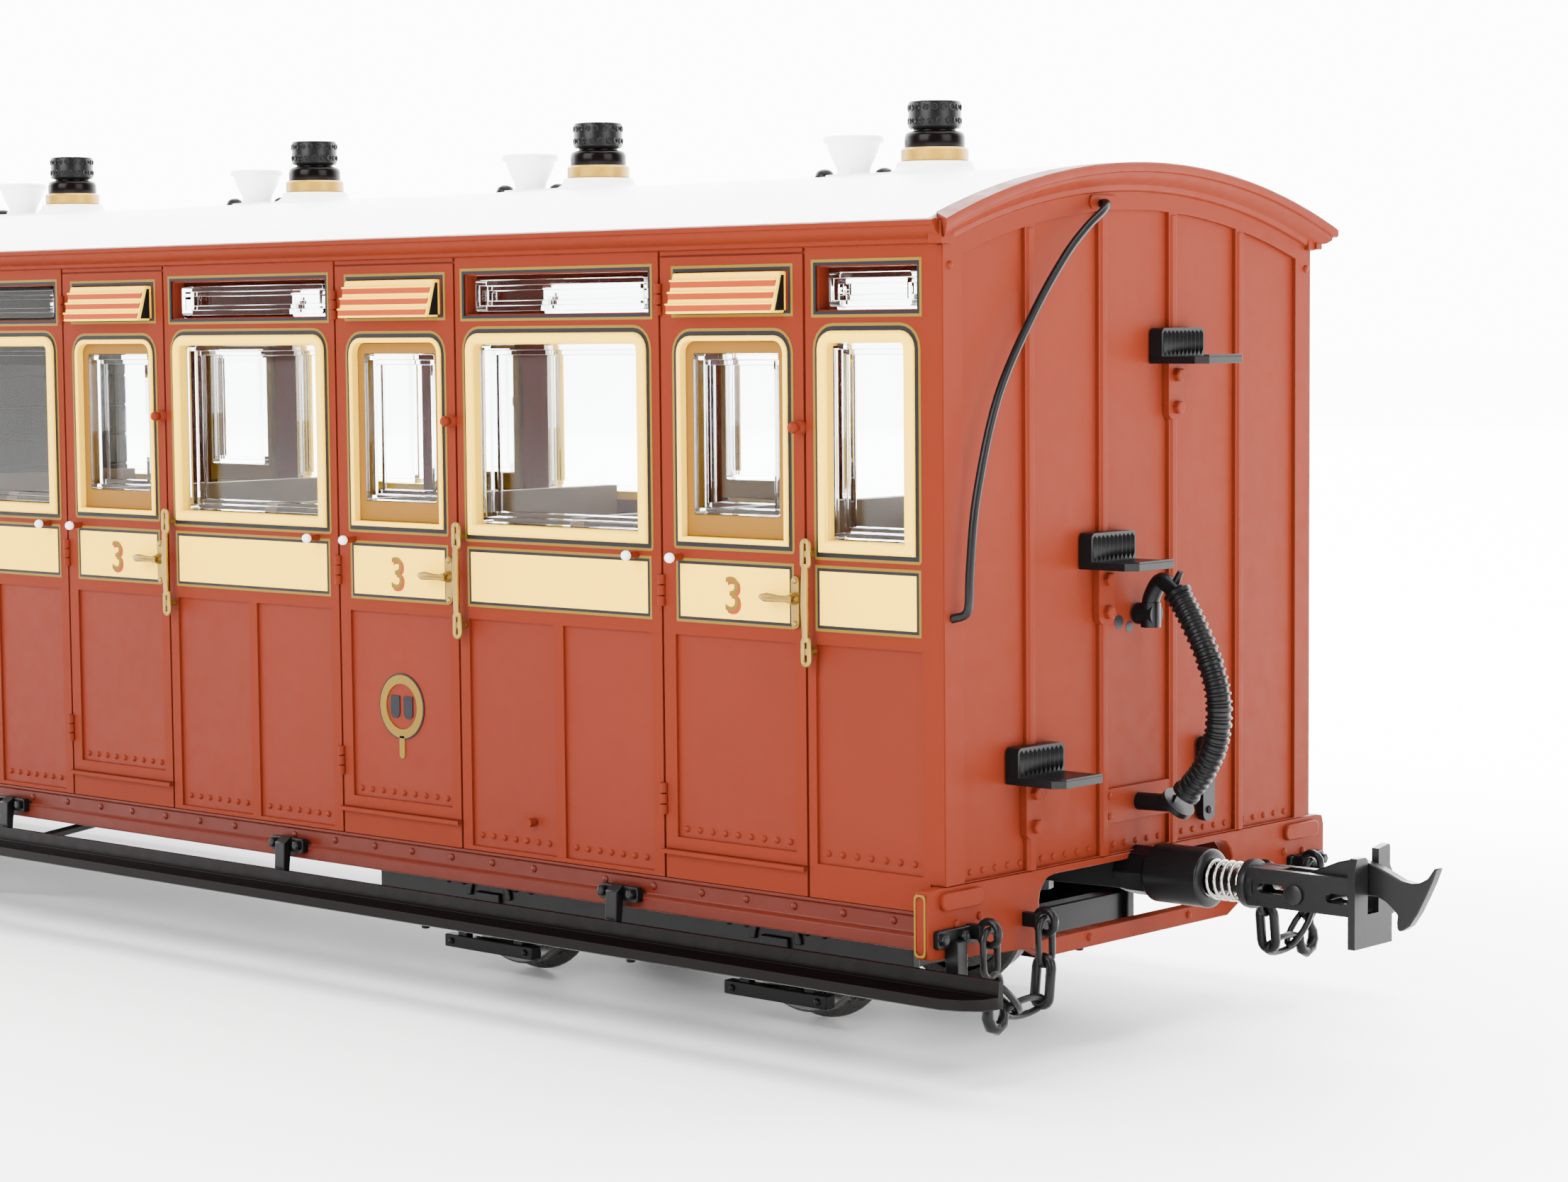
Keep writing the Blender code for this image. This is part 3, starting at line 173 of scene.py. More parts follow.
SEAT = finish("seat_slats", (0.17, 0.105, 0.055), 0.55, bump=0.1, grain=1200, stretch=(8, 1, 1), vary=0.12)
PLANK = finish("partition_wood", (0.030, 0.025, 0.021), 0.55, bump=0.2, grain=900, stretch=(1, 10, 1),
               vary=0.2, specular=0.2)
SHADE_RED = finish("shade_red", (0.24, 0.030, 0.006), 0.40, specular=0.05)
PORCELAIN = finish("knob_white", (0.72, 0.76, 0.85), 0.30, coat=0.4, vary=0.02)
GLASS = clear_plastic()


# ---- shapes ----

AXES = {
    "X": Matrix(((0, 0, 1, 0), (1, 0, 0, 0), (0, 1, 0, 0), (0, 0, 0, 1))),
    "Y": Matrix(((1, 0, 0, 0), (0, 0, -1, 0), (0, 1, 0, 0), (0, 0, 0, 1))),
    "Z": Matrix.Identity(4),
}


def lifted(axis, u, v, w):
    """(u, v) across the axis and w along it, as a point: X gives y, z; Y gives x, z; Z gives x, y."""
    return {"X": (w, u, v), "Y": (u, w, v), "Z": (u, v, w)}[axis]


def turns(count):
    """Angles of equal steps round a full turn."""
    return [2 * math.pi * k / count for k in range(count)]


def moved(points, u, v):
    return [(a + u, b + v) for a, b in points]


class Shape:
    """Closed solids in millimetres, gathered into one mesh."""

    def __init__(self):
        self.bm = bmesh.new()

    def loft(self, loops, closed=False):
        """Skin over loops of equal length; ends are capped unless the loft closes on itself."""
        rows = [[self.bm.verts.new(p) for p in loop] for loop in loops]
        count = len(rows[0])
        faces = []
        pairs = list(zip(rows, rows[1:])) + ([(rows[-1], rows[0])] if closed else [])
        for a, b in pairs:
            for i in range(count):
                j = (i + 1) % count
                faces.append(self.bm.faces.new((a[i], a[j], b[j], b[i])))
        if not closed:
            faces.append(self.bm.faces.new(rows[0][::-1]))
            faces.append(self.bm.faces.new(rows[-1]))
        bmesh.ops.recalc_face_normals(self.bm, faces=faces)
        return self

    def prism(self, axis, outline, low, high):
        return self.loft([[lifted(axis, u, v, w) for u, v in outline] for w in (low, high)])

    def box(self, x, y, z):
        return self.prism("Z", [(x[0], y[0]), (x[1], y[0]), (x[1], y[1]), (x[0], y[1])], z[0], z[1])

    def ring(self, axis, outer, inner, low, high):
        """Frame between two outlines of equal length."""
        loops = [[lifted(axis, *p, low) for p in outer], [lifted(axis, *p, high) for p in outer],
                 [lifted(axis, *p, high) for p in inner], [lifted(axis, *p, low) for p in inner]]
        return self.loft(loops, closed=True)

    def lathe(self, axis, profile, centre, n=24, start=0.0, out=1):
        """Turned solid, pole to pole or a closed loop; rows are (radius, place along the axis from start)."""
        u, v = centre
        loops = []
        for r, w in profile:
            r = max(r, 0.001)
            along = start + out * w
            loops.append([lifted(axis, u + r * math.cos(a), v + r * math.sin(a), along) for a in turns(n)])
        return self.loft(loops, closed=profile[0][0] > 0.01 and profile[-1][0] > 0.01)

    def rod(self, axis, low, high, centre, r, n=16):
        return self.lathe(axis, [(0, low), (r, low), (r, high), (0, high)], centre, n)

    def dome(self, axis, centre, w, r, out=1, n=8):
        """Round rivet or bolt head rising from w along +axis (out=1) or -axis (out=-1)."""
        profile = [(0, -0.1), (r, -0.1), (r * 0.95, 0.3 * r), (r * 0.6, 0.62 * r), (0, 0.75 * r)]
        return self.lathe(axis, profile, centre, n, w, out)

    def hexagon(self, axis, centre, w, r, out=1):
        profile = [(0, -0.1), (r, -0.1), (r, 0.35), (r * 0.75, 0.45), (0, 0.45)]
        return self.lathe(axis, profile, centre, 6, w, out)

    def tube(self, path, radii, n=12, closed=False, flat=1.0):
        """Round tube through points, with one radius or one for each point."""
        points = [Vector(p) for p in path]
        count = len(points)
        if not isinstance(radii, (list, tuple)):
            radii = [radii] * count
        loops = []
        side = None
        for i, p in enumerate(points):
            before = points[i - 1] if i or closed else p
            after = points[(i + 1) % count] if i + 1 < count or closed else p
            along = (after - before).normalized()
            if side is None:
                side = along.orthogonal().normalized()
            side = (side - along * side.dot(along)).normalized()
            up = along.cross(side)
            loops.append([p + (side * math.cos(a) + up * math.sin(a) * flat) * radii[i] for a in turns(n)])
        return self.loft(loops, closed)

    def plate(self, axis, outlines, low, high):
        """Flat plate with holes: the first outline is the edge, the rest are openings."""
        curve = bpy.data.curves.new("outline", "CURVE")
        curve.dimensions = "2D"
        curve.fill_mode = "BOTH"
        curve.extrude = (high - low) / 2
        for points in outlines:
            spline = curve.splines.new("POLY")
            spline.points.add(len(points) - 1)
            for point, (u, v) in zip(spline.points, points):
                point.co = (u, v, 0, 1)
            spline.use_cyclic_u = True
        obj = bpy.data.objects.new("outline", curve)
        mesh = bpy.data.meshes.new_from_object(obj)
        shift = Vector((0, 0, 0))
        shift["XYZ".index(axis)] = (low + high) / 2
        mesh.transform(Matrix.Translation(shift) @ AXES[axis])
        part = bmesh.new()
        part.from_mesh(mesh)
        bmesh.ops.remove_doubles(part, verts=part.verts, dist=0.001)
        bmesh.ops.recalc_face_normals(part, faces=part.faces)
        part.to_mesh(mesh)
        part.free()
        self.bm.from_mesh(mesh)
        bpy.data.objects.remove(obj)
        return self

    def mirrored_y(self):
        """Adds the mirror image across the centre plane."""
        everything = self.bm.verts[:] + self.bm.edges[:] + self.bm.faces[:]
        extra = bmesh.ops.duplicate(self.bm, geom=everything)["geom"]
        verts = [e for e in extra if isinstance(e, bmesh.types.BMVert)]
        faces = [e for e in extra if isinstance(e, bmesh.types.BMFace)]
        bmesh.ops.scale(self.bm, vec=(1, -1, 1), verts=verts)
        bmesh.ops.reverse_faces(self.bm, faces=faces)
        return self


def add(name, mesh, material, body, replaced=(), bevel=0.0, smooth=40, slot=None):
    mesh.materials.clear()
    mesh.materials.append(material)
    mesh.shade_smooth()
    mesh.set_sharp_from_angle(angle=math.radians(smooth))
    obj = bpy.data.objects.new(name, mesh)
    bpy.context.scene.collection.objects.link(obj)
    if bevel:
        edge = obj.modifiers.new("Bevel", "BEVEL")
        edge.width = bevel * MM
        edge.segments = 2
        edge.limit_method = "ANGLE"
        edge.angle_limit = math.radians(40)
        edge.harden_normals = False
    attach(obj, body)
    if replaced:
        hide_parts(*replaced)
    return obj


def mesh_of(name, shape):
    """The finished mesh of a shape, in metres."""
    mesh = bpy.data.meshes.new(name)
    shape.bm.to_mesh(mesh)
    shape.bm.free()
    mesh.transform(TO_METRES)
    return mesh


def repaint(material, *nodes):
    """One material for CAD nodes that are kept as they are."""
    for name in nodes:
        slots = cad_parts[name].data.materials
        slots.clear()
        slots.append(material)


def single(name, shape, material, body="coach_body", replaced=(), **look):
    return add(name, mesh_of(name, shape), material, body, replaced, **look)


def twin(name, shape, material, bodies=("coach_body",) * 2, tags=("front", "rear"), node_of="", **look):
    """The piece and its copy turned half a turn; node_of names the CAD node stem that both stand for."""
    mesh = mesh_of(name, shape)
    other = mesh.copy()
    other.transform(HALF_TURN)
    made = []
    for copy, tag, body in ((mesh, tags[0], bodies[0]), (other, tags[1], bodies[1])):
        replaced = (f"{node_of}_{tag}",) if node_of else ()
        made.append(add(f"{name}_{tag}", copy, material, body, replaced, **look))
    return made


def sides(name, shape, material, node_of="", **look):
    twin(name, shape, material, tags=("right", "left"), node_of=node_of, **look)


def rounded(x0, x1, z0, z1, top=0.0, bottom=0.0, steps=5):
    """Rectangle outline with rounded top and bottom corners; always the same number of points."""
    points = []
    corners = ((x0, z0, 1, 1, bottom, 180), (x1, z0, -1, 1, bottom, 270), (x1, z1, -1, -1, top, 0),
               (x0, z1, 1, -1, top, 90))
    for x, z, sx, sz, r, start in corners:
        r = max(r, 0.02)
        for i in range(steps + 1):
            a = math.radians(start + 90 * i / steps)
            points.append((x + sx * r + r * math.cos(a), z + sz * r + r * math.sin(a)))
    return points


def around(centre, half, low, high, inset=0.0, top=0.0, bottom=0.0):
    """Rounded outline about a centre, heights above the panel base, drawn in by inset."""
    return rounded(centre - half + inset, centre + half - inset, BASE + low + inset, BASE + high - inset,
                   max(top - inset, 0), max(bottom - inset, 0))


def proud(low, high):
    """Depths beyond the right side's face, as a low and high Y."""
    return -FACE - high, -FACE - low


# Windows of a side: centre, half width, sill and head of the painted surround
SURROUNDS = [(x, 9.6, 22.65, 38.28) for x in BAYS] + [(x, 4.63, 22.65, 38.28) for x in QUARTERS]
DOOR_SURROUNDS = [(x + 0.1, 5.58, 22.93, 38.0) for x in DOORS]
TOPLIGHTS = [(x, 9.75, 38.65, 42.45) for x in BAYS] + [(x, 4.75, 38.65, 42.45) for x in QUARTERS]
WAISTS = ([(x, 9.4, 17.9, 22.3) for x in BAYS] + [(x, 4.58, 17.9, 22.3) for x in QUARTERS]
          + [(x + 0.15, 5.46, 17.9, 22.3) for x in DOORS])
DOOR_TOPS = [(x + 0.1, 5.6, 38.75, 42.25) for x in DOORS]
CORNER_R = 1.4
SIDE_HIGH = 43.6
DOOR_HALF = 6.56
NOTCH_WIDE = 1.25                  # the end of a side is cut away here, above the headstock
NOTCH_HIGH = 1.95
CORNER_GAP = 0.06                  # side panels stop this far short of the end's face


def make_side_panels():
    """Raised outer skin in door and bay pieces over a full backing, so door gaps and beads are real steps."""
    backing = Shape()
    holes = [around(x, w - 0.95, a + 0.6, b - 0.6) for x, w, a, b in SURROUNDS]
    holes += [around(x, w - 0.6, a + 0.5, b - 0.5) for x, w, a, b in DOOR_SURROUNDS]
    holes += [around(x, w - 0.5, a + 0.5, b - 0.5) for x, w, a, b in TOPLIGHTS]
    tip = END - CORNER_GAP
    notch = tip - NOTCH_WIDE
    low, top = BASE + NOTCH_HIGH, BASE + SIDE_HIGH
    edge = [(-tip, low), (-notch, low), (-notch, BASE), (notch, BASE), (notch, low), (tip, low), (tip, top),
            (-tip, top)]
    backing.plate("Y", [edge, *holes], *proud(-1.2, -0.2))
    sides("side_backing", backing, DEEP_RED, node_of="side")
    skin = Shape()
    depth = proud(-0.22, 0)
    for x in BAYS:
        outline = [(x - 10.3, BASE), (x + 10.3, BASE), (x + 10.3, top), (x - 10.3, top)]
        panels = [around(x + s * 4.9, 4.42, 0.3, 17.0) for s in (-1, 1)]
        window = around(x, 9.35, 22.9, 38.0, top=CORNER_R)
        skin.plate("Y", [outline, window, around(x, 9.4, 39.0, 42.1), *panels], *depth)
    for x, s in zip(QUARTERS, (1, -1)):
        step, tip, inner = s * (END - NOTCH_WIDE), s * (END - CORNER_GAP), s * (END - 11.76)
        outline = [(tip, low), (tip, top), (inner, top), (inner, BASE), (step, BASE), (step, low)]
        window = around(x, 4.4, 22.9, 38.0, top=CORNER_R)
        skin.plate("Y", [outline, window, around(x, 4.4, 39.0, 42.1), around(x, 4.6, 2.3, 17.0)], *depth)
    for x in DOORS:
        leaf = around(x, DOOR_HALF, 2.05, 42.85)
        middle = x + 0.1
        window = around(middle, 5.3, 23.2, 37.7, top=CORNER_R)
        vent, panel = around(middle, 5.2, 39.1, 41.9), around(middle, 5.55, 2.9, 17.0)
        skin.plate("Y", [leaf, window, vent, panel], *depth)
        for z in ((BASE, BASE + 1.85), (BASE + 43.0, top)):
            skin.box((x - DOOR_HALF, x + DOOR_HALF), depth, z)
    sides("side_skin", skin, RED, bevel=0.07)


KNOBS = [(x + dx, BASE + 22.35) for x in DOORS for dx in (-9.05, -4.85)]


def make_rivets():
    heads = Shape()
    surface = -FACE + 0.2
    for x in BAYS:
        for s in (-1, 1):
            for i in range(7):
                heads.dome("Y", (x + s * 4.9 + (i - 3) * 1.17, BASE + 1.14), surface, 0.24, -1)
    for x, s in zip(QUARTERS, (1, -1)):
        for i in range(7):
            heads.dome("Y", (x + (i - 3) * 1.25, BASE + 3.05), surface, 0.24, -1)
    for x in DOORS:
        for i in range(9):
            heads.dome("Y", (x + 0.1 + (i - 4) * 1.2, BASE + 3.5), surface, 0.24, -1)
        heads.box((x - 6.8, x + 6.6), proud(-0.1, 0.42), (BASE + 1.72, BASE + 2.0))
        for h in (40.0, 20.0, 5.5):
            for k in (-1, 0, 1):
                knuckle = BASE + h + k * 0.75
                heads.rod("Z", knuckle - 0.33, knuckle + 0.33, (x - 6.66, -FACE - 0.1), 0.3, 8)
        stop = [(0, -0.1), (0.5, -0.1), (0.45, 0.3), (0.28, 0.4), (0.42, 0.75), (0.3, 1.0), (0, 1.05)]
        heads.lathe("Y", stop, (x + 6.3, BASE + 31.4), 12, -FACE, -1)
    for place in KNOBS:
        heads.rod("Y", -FACE - 0.9, -FACE + 0.1, place, 0.24, 8)
    for x in BAYS[::2]:
        heads.rod("Y", -FACE - 0.5, -FACE + 0.1, (x - 2.9, BASE + 2.6), 0.32, 10)
    sides("side_rivets", heads, RED, smooth=60)
    knobs = Shape()
    angles = [math.radians(a) for a in range(0, 181, 20)]
    ball = [(0.36 * math.sin(a), -1.15 - 0.36 * math.cos(a)) for a in angles]
    for place in KNOBS:
        knobs.lathe("Y", ball, place, 14, -FACE)
    sides("white_knobs", knobs, PORCELAIN, smooth=80)


def make_lining():
    """Gold and black lines round every painted surround, and the cream waist panels."""
    gold, black, cream = Shape(), Shape(), Shape()
    depth = proud(-0.1, 0.02)
    wide, thin = (0, 0.19, 0.52), (0, 0.19, 0.40)       # insets where gold, black and the framed part begin
    lines = [(row, wide, CORNER_R + 0.3, 0.25) for row in SURROUNDS + DOOR_SURROUNDS]
    lines += [(row, thin, 0.0, 0.0) for row in TOPLIGHTS + DOOR_TOPS + WAISTS]
    for row, insets, top, bottom in lines:
        loops = [around(*row, inset, top, bottom) for inset in insets]
        gold.ring("Y", loops[0], loops[1], *depth)
        black.ring("Y", loops[1], loops[2], *depth)
    for row in WAISTS:
        cream.prism("Y", around(*row, thin[2]), *proud(-0.1, 0.03))
    sides("gold_lining", gold, GOLD)
    sides("black_lining", black, LINE)
    sides("waist_cream", cream, CREAM)


def make_window_frames():
    frames = Shape()
    for x, w, a, b in SURROUNDS:
        outer = around(x, w, a, b, 0.5, CORNER_R + 0.3, 0.4)
        inner = around(x, w, a, b, 1.3, CORNER_R + 0.3, 0.4)
        frames.ring("Y", outer, inner, *proud(-1.0, 0.32))
    sides("window_frames", frames, CREAM, bevel=0.2)
    thin = Shape()
    for x, w, a, b in DOOR_SURROUNDS:
        outer = around(x, w, a, b, 0.5, CORNER_R + 0.3, 0.3)
        inner = around(x, w, a, b, 0.86, CORNER_R + 0.3, 0.3)
        thin.ring("Y", outer, inner, *proud(-0.5, 0.2))
    sides("door_frames", thin, CREAM, bevel=0.1)
    drops = Shape()
    for x, (cx, w, a, b) in zip(DOORS, DOOR_SURROUNDS):
        drops.ring("Y", around(cx, w, a, b, 0.84, CORNER_R, 0.2), around(x, 3.95, 25.3, 36.3, 0, 0.15, 0.15),
                   *proud(-1.5, -0.42))
    sides("droplights", drops, TAN, bevel=0.1)


def make_glazing():
    """Clear mouldings that push into each opening from inside, with a stepped rim round the pane."""
    panes = Shape()
    lights = [(x, w - 1.35, 24.05, 36.95) for x, w, a, b in SURROUNDS]
    lights += [(x, 3.9, 25.35, 36.25) for x in DOORS]
    lights += [(x, w - 1.2, 39.35, 41.6) for x, w, a, b in TOPLIGHTS]
    for x, w, a, b in lights:
        rims = [around(x, w, a, b, inset, 0.2, 0.2) for inset in (0, 0.4, 0.42, 0.75)]
        panes.ring("Y", rims[0], rims[1], *proud(-1.9, -0.45))
        panes.ring("Y", rims[2], rims[3], *proud(-1.9, -1.0))
        panes.prism("Y", around(x, w, a, b, 0.77, 0.2, 0.2), *proud(-1.85, -1.6))
    sides("glazing_panes", panes, GLASS, node_of="glazing", bevel=0.08)


def make_louvres():
    hood = Shape()
    hood_end_shade = Shape()
    stripes = Shape()
    for centre in DOORS:
        x = centre + 0.05
        top, low = BASE + 41.75, BASE + 39.0
        hood.loft([[(x - 5.15, -FACE + 0.3, z), (x - 5.05, -FACE - out, z), (x + 4.75, -FACE - out, z),
                    (x + 4.85, -FACE + 0.3, z)] for z, out in ((low, 1.15), (top, 0.35))])
        # Painted shade: a dark wedge at the open right end of each hood stands for the shade inside it.
        foot, peak = low + 0.15, top - 0.25
        end_shade_outline = [(-FACE, foot), (-FACE - 0.85, foot), (-FACE - 0.2, peak), (-FACE, peak)]
        hood_end_shade.prism("X", end_shade_outline, x + 4.5, x + 4.86)
        for k in range(3):
            z = low + 0.2 + k * 0.8
            out = 1.15 - 0.8 * (z - low) / (top - low)
            stripes.box((x - 5.02, x + 4.65), proud(out - 0.4, out + 0.03), (z - 0.04, z + 0.36))
            hood.box((x - 5.1, x + 4.7), proud(out - 0.5, out + 0.1), (z + 0.36, z + 0.5))
    sides("louvre_hoods", hood, CREAM, bevel=0.12)
    sides("louvre_stripes", stripes, SHADE_RED)
    # Painted shade in the hoods' open ends.
    sides("louvre_end_painted_shade", hood_end_shade, OXIDE)


def stadium(x, z, half, straight, n=8):
    """Outline of an upright loop with round ends."""
    points = []
    for centre, start in ((z + straight, 0), (z - straight, 180)):
        for i in range(n + 1):
            a = math.radians(start + 180 * i / n)
            points.append((x + half * math.cos(a), centre + half * math.sin(a)))
    return points


def make_door_furniture():
    metal = Shape()
    for x in DOORS:
        bar = x + 7.31
        out = -FACE - 0.75
        for z in (BASE + 16.55, BASE + 23.05):
            loop = [(u, out, v) for u, v in stadium(bar, z, 0.27, 0.6)]
            metal.tube(loop, 0.19, 8, closed=True)
            metal.rod("Y", out - 0.05, -FACE + 0.1, (bar, z), 0.22, 8)
        rail = [(bar, out - bow, BASE + z) for bow, z in ((0.05, 17.2), (0.15, 19.8), (0.05, 22.4))]
        metal.tube(rail, [0.24, 0.27, 0.24], 10)
        lock = x + 5.9
        metal.prism("Y", stadium(lock, BASE + 19.75, 0.34, 1.4), *proud(0.0, 0.28))
        for h in (18.3, 21.2):
            metal.dome("Y", (lock, BASE + h), -FACE - 0.28, 0.22, -1)
        boss = [(0, 0), (0.42, 0), (0.42, 0.55), (0.3, 0.7), (0.3, 1.0), (0, 1.05)]
        metal.lathe("Y", boss, (lock, BASE + 20.0), 12, -FACE, -1)
        lever = [(lock + dx, -FACE - dy, BASE + z) for dx, dy, z in
                 ((0.3, 0.85, 20.0), (-0.9, 0.95, 20.0), (-2.0, 1.0, 20.05), (-2.6, 0.9, 20.1))]
        metal.tube(lever, [0.24, 0.26, 0.36, 0.16], 10, flat=0.7)
    sides("door_furniture", metal, BRASS, smooth=60)


def make_class_marks():
    """A plain numeral with a thin shaded edge on each door's waist panel, and a ring badge on two doors."""
    for tag, material, shift, depth in (("face", GOLD, 0.0, 0.07), ("shade", SHADE_RED, 0.18, 0.05)):
        marks = Shape()
        for x in DOORS:
            text = bpy.data.curves.new("numeral", "FONT")
            text.body = "3"
            text.size = 3.4
            text.align_x = "CENTER"
            text.extrude = 0.02
            text.resolution_u = 4
            obj = bpy.data.objects.new("numeral", text)
            mesh = bpy.data.meshes.new_from_object(obj)
            mesh.transform(Matrix.Translation((x + shift, -FACE - depth, BASE + 18.85 - shift)) @ AXES["Y"])
            marks.bm.from_mesh(mesh)
            bpy.data.objects.remove(obj)
        sides(f"class_numeral_{tag}", marks, material)
    rim, edge, shields = Shape(), Shape(), Shape()
    for x in (DOORS[1], DOORS[6]):
        circles = [[(x + r * math.cos(a), BASE + 10 + r * math.sin(a)) for a in turns(36)]
                   for r in (2.5, 2.38, 1.72)]
        edge.ring("Y", circles[0], circles[1], *proud(-0.25, -0.13))
        rim.ring("Y", circles[1], circles[2], *proud(-0.25, -0.11))
        rim.prism("Y", around(x, 0.28, 6.1, 7.8, 0, 0.1, 0.27), *proud(-0.25, -0.11))
        for shift in (-0.72, 0.72):
            shields.prism("Y", around(x + shift, 0.5, 9.1, 10.8, 0, 0.1, 0.45), *proud(-0.25, -0.12))
    sides("badge_rim", rim, GOLD)
    sides("badge_edge", edge, LINE)
    sides("badge_shields", shields, LINE)


# ---- roof ----

def arc(radius, half, steps=40):
    """(y, z) points over the roof's arc from +half to -half."""
    points = []
    for i in range(steps + 1):
        y = half * (1 - 2 * i / steps)
        points.append((y, ROOF_Z + math.sqrt(radius ** 2 - y ** 2)))
    return points


def make_roof():
    skin = Shape()
    section = arc(ROOF_R, 22.35) + arc(ROOF_R - 1.2, 21.3)[::-1]
    skin.prism("X", section, -END + 0.4, END - 0.4)
    single("roof_skin", skin, WHITE, replaced=("roof",), smooth=30)
    eaves = Shape()
    profile = [(-21.0, 0), (-21.3, 0.1), (-21.35, 0.35), (-21.75, 0.5), (-22.2, 0.85), (-22.3, 1.15),
               (-22.5, 1.2), (-22.5, 1.5), (-22.2, 1.62), (-20.2, 1.62), (-20.2, 0)]
    eaves.prism("X", moved(profile, 0, BASE + 43.25), -END - 0.35, END + 0.35)
    sides("cornice", eaves, RED, bevel=0.05)
    make_end_mouldings()
    make_roof_fittings()


def make_end_mouldings():
    """Ogee moulding under the roof's overhang, following the arc from corner to corner."""
    rim = Shape()
    steps = 40
    profile = [(-0.5, -1.9), (0.0, -1.9), (0.22, -1.8), (0.3, -1.45), (0.42, -1.35), (0.85, -1.15),
               (1.15, -0.85), (1.2, -0.62), (1.42, -0.55), (1.5, -0.4), (1.5, -0.05), (1.4, 0.06),
               (-0.5, 0.06)]
    loops = []
    for i in range(steps + 1):
        share = 1 - 2 * i / steps
        loop = []
        for out, drop in profile:
            half = 21.0 + max(out, 0) * 0.9
            y = share * half
            r = ROOF_R + drop
            loop.append((END + out, y, ROOF_Z + math.sqrt(r * r - y * y)))
        loops.append(loop)
    rim.loft(loops)
    for s in (1, -1):
        hook = [(END - 0.35, s * 22.0), (END + 0.5, s * 21.7), (END + 0.5, s * 21.0), (END - 0.35, s * 21.0)]
        rim.prism("Z", hook, BASE + 43.3, BASE + 44.75)
    twin("end_moulding", rim, RED, smooth=30)


LAMP_OFFSET = 0.55                 # lamp ahead of its door's middle
VENT_OFFSET = -7.7                 # vent behind its lamp


def make_roof_fittings():
    white, domes_and_shade = Shape(), Shape()
    seat = [(0, -0.5), (3.4, -0.5), (3.3, 0.05), (2.85, 0.35), (2.7, 0.8), (0, 0.8)]
    bowl = [(0, -0.6), (2.6, -0.6), (2.5, -0.02), (1.35, 0.1), (1.2, 0.4), (1.3, 0.8), (1.6, 1.4),
            (1.85, 2.0), (1.95, 2.45), (2.2, 2.5), (2.22, 2.55), (2.22, 2.8), (2.1, 2.95), (0, 3.0)]
    stud = [(0, -0.4), (0.45, -0.4), (0.42, 0.25), (0.25, 0.42), (0, 0.45)]
    button = [(0, -0.5), (0.75, -0.5), (0.75, 0.1), (0.6, 0.45), (0.3, 0.62), (0, 0.66)]
    for door in DOORS:
        x = door + LAMP_OFFSET
        vent = x + VENT_OFFSET
        white.lathe("Z", seat, (x, 0), 32, CROWN)
        white.lathe("Z", bowl, (vent, 0), 32, CROWN)
        white.prism("Z", rounded(x - 9.5, x + 2.2, -2.2, 2.2, 1.8, 1.8), CROWN - 0.5, CROWN + 0.12)
        white.lathe("Z", stud, (vent + 0.9, -1.9), 12, CROWN)
        # Black domes at the foot of each vent, under its rim: the one ahead of the vent, towards its lamp, is
        # painted shade of the rim on the roof; the one behind is a black dome.
        for dx, dy in ((-2.3, -0.6), (2.1, 1.0)):
            domes_and_shade.lathe("Z", button, (vent + dx, dy), 14, CROWN)
    single("roof_fittings", white, WHITE, smooth=35)
    # Black domes, partly painted shade under the vents' rims.
    single("roof_vent_domes_and_shade", domes_and_shade, BLACK, smooth=60)
    for i, door in enumerate(DOORS):
        make_lamp(i + 1, door + LAMP_OFFSET, CROWN + 0.8)


def make_lamp(number, x, seat):
    ring = [(0, 0), (2.34, 0), (2.43, 0.12), (2.43, 0.85), (2.3, 1.0), (0, 1.0)]
    drum = [(0, 0.9), (2.15, 0.95), (2.18, 1.2), (2.18, 1.75), (2.1, 2.0), (1.9, 2.15), (1.55, 2.2),
            (1.5, 2.45), (0, 2.45)]
    single(f"lamp_ring_{number}", Shape().lathe("Z", ring, (x, 0), 36, seat), LAMP_GOLD, smooth=35)
    single(f"lamp_drum_{number}", Shape().lathe("Z", drum, (x, 0), 36, seat), GLOSS, smooth=50)
    profile = [(0, 2.35), (1.75, 2.35), (1.9, 2.5), (1.9, 4.15), (1.8, 4.3), (0, 4.3)]
    cap = Shape().lathe("Z", profile, (x, 0), 40, seat)
    holes = 18
    for h in (2.9, 3.85):
        for k in range(holes):
            a = 2 * math.pi * (k + 0.5 * (h > 3)) / holes
            spot = Vector((x + 1.9 * math.cos(a), 1.9 * math.sin(a), seat + h))
            out = Vector((math.cos(a), math.sin(a), 0))
            across = Vector((-math.sin(a), math.cos(a), 0))
            loop = [spot + across * 0.2 * math.cos(t) + Vector((0, 0, 0.2 * math.sin(t))) for t in turns(8)]
            cap.tube(loop, 0.06, 5, closed=True)
            root = [spot - out * 0.1 + (p - spot) * 0.65 for p in loop]
            tip = [spot + out * 0.012 + (p - spot) * 0.6 for p in loop]
            cap.loft([root, tip])
    single(f"lamp_cap_{number}", cap, BLACK, replaced=(f"lamp_{number}",), smooth=40)


# ---- ends ----

BEADS = (-12.0, -4.0, 4.0, 12.0)
BOARD_TOP_R = ROOF_R - 3.1
STEPS = ((4.0, 35.8), (-4.0, 22.1), (-12.0, 8.35))      # middle and tread height above the base


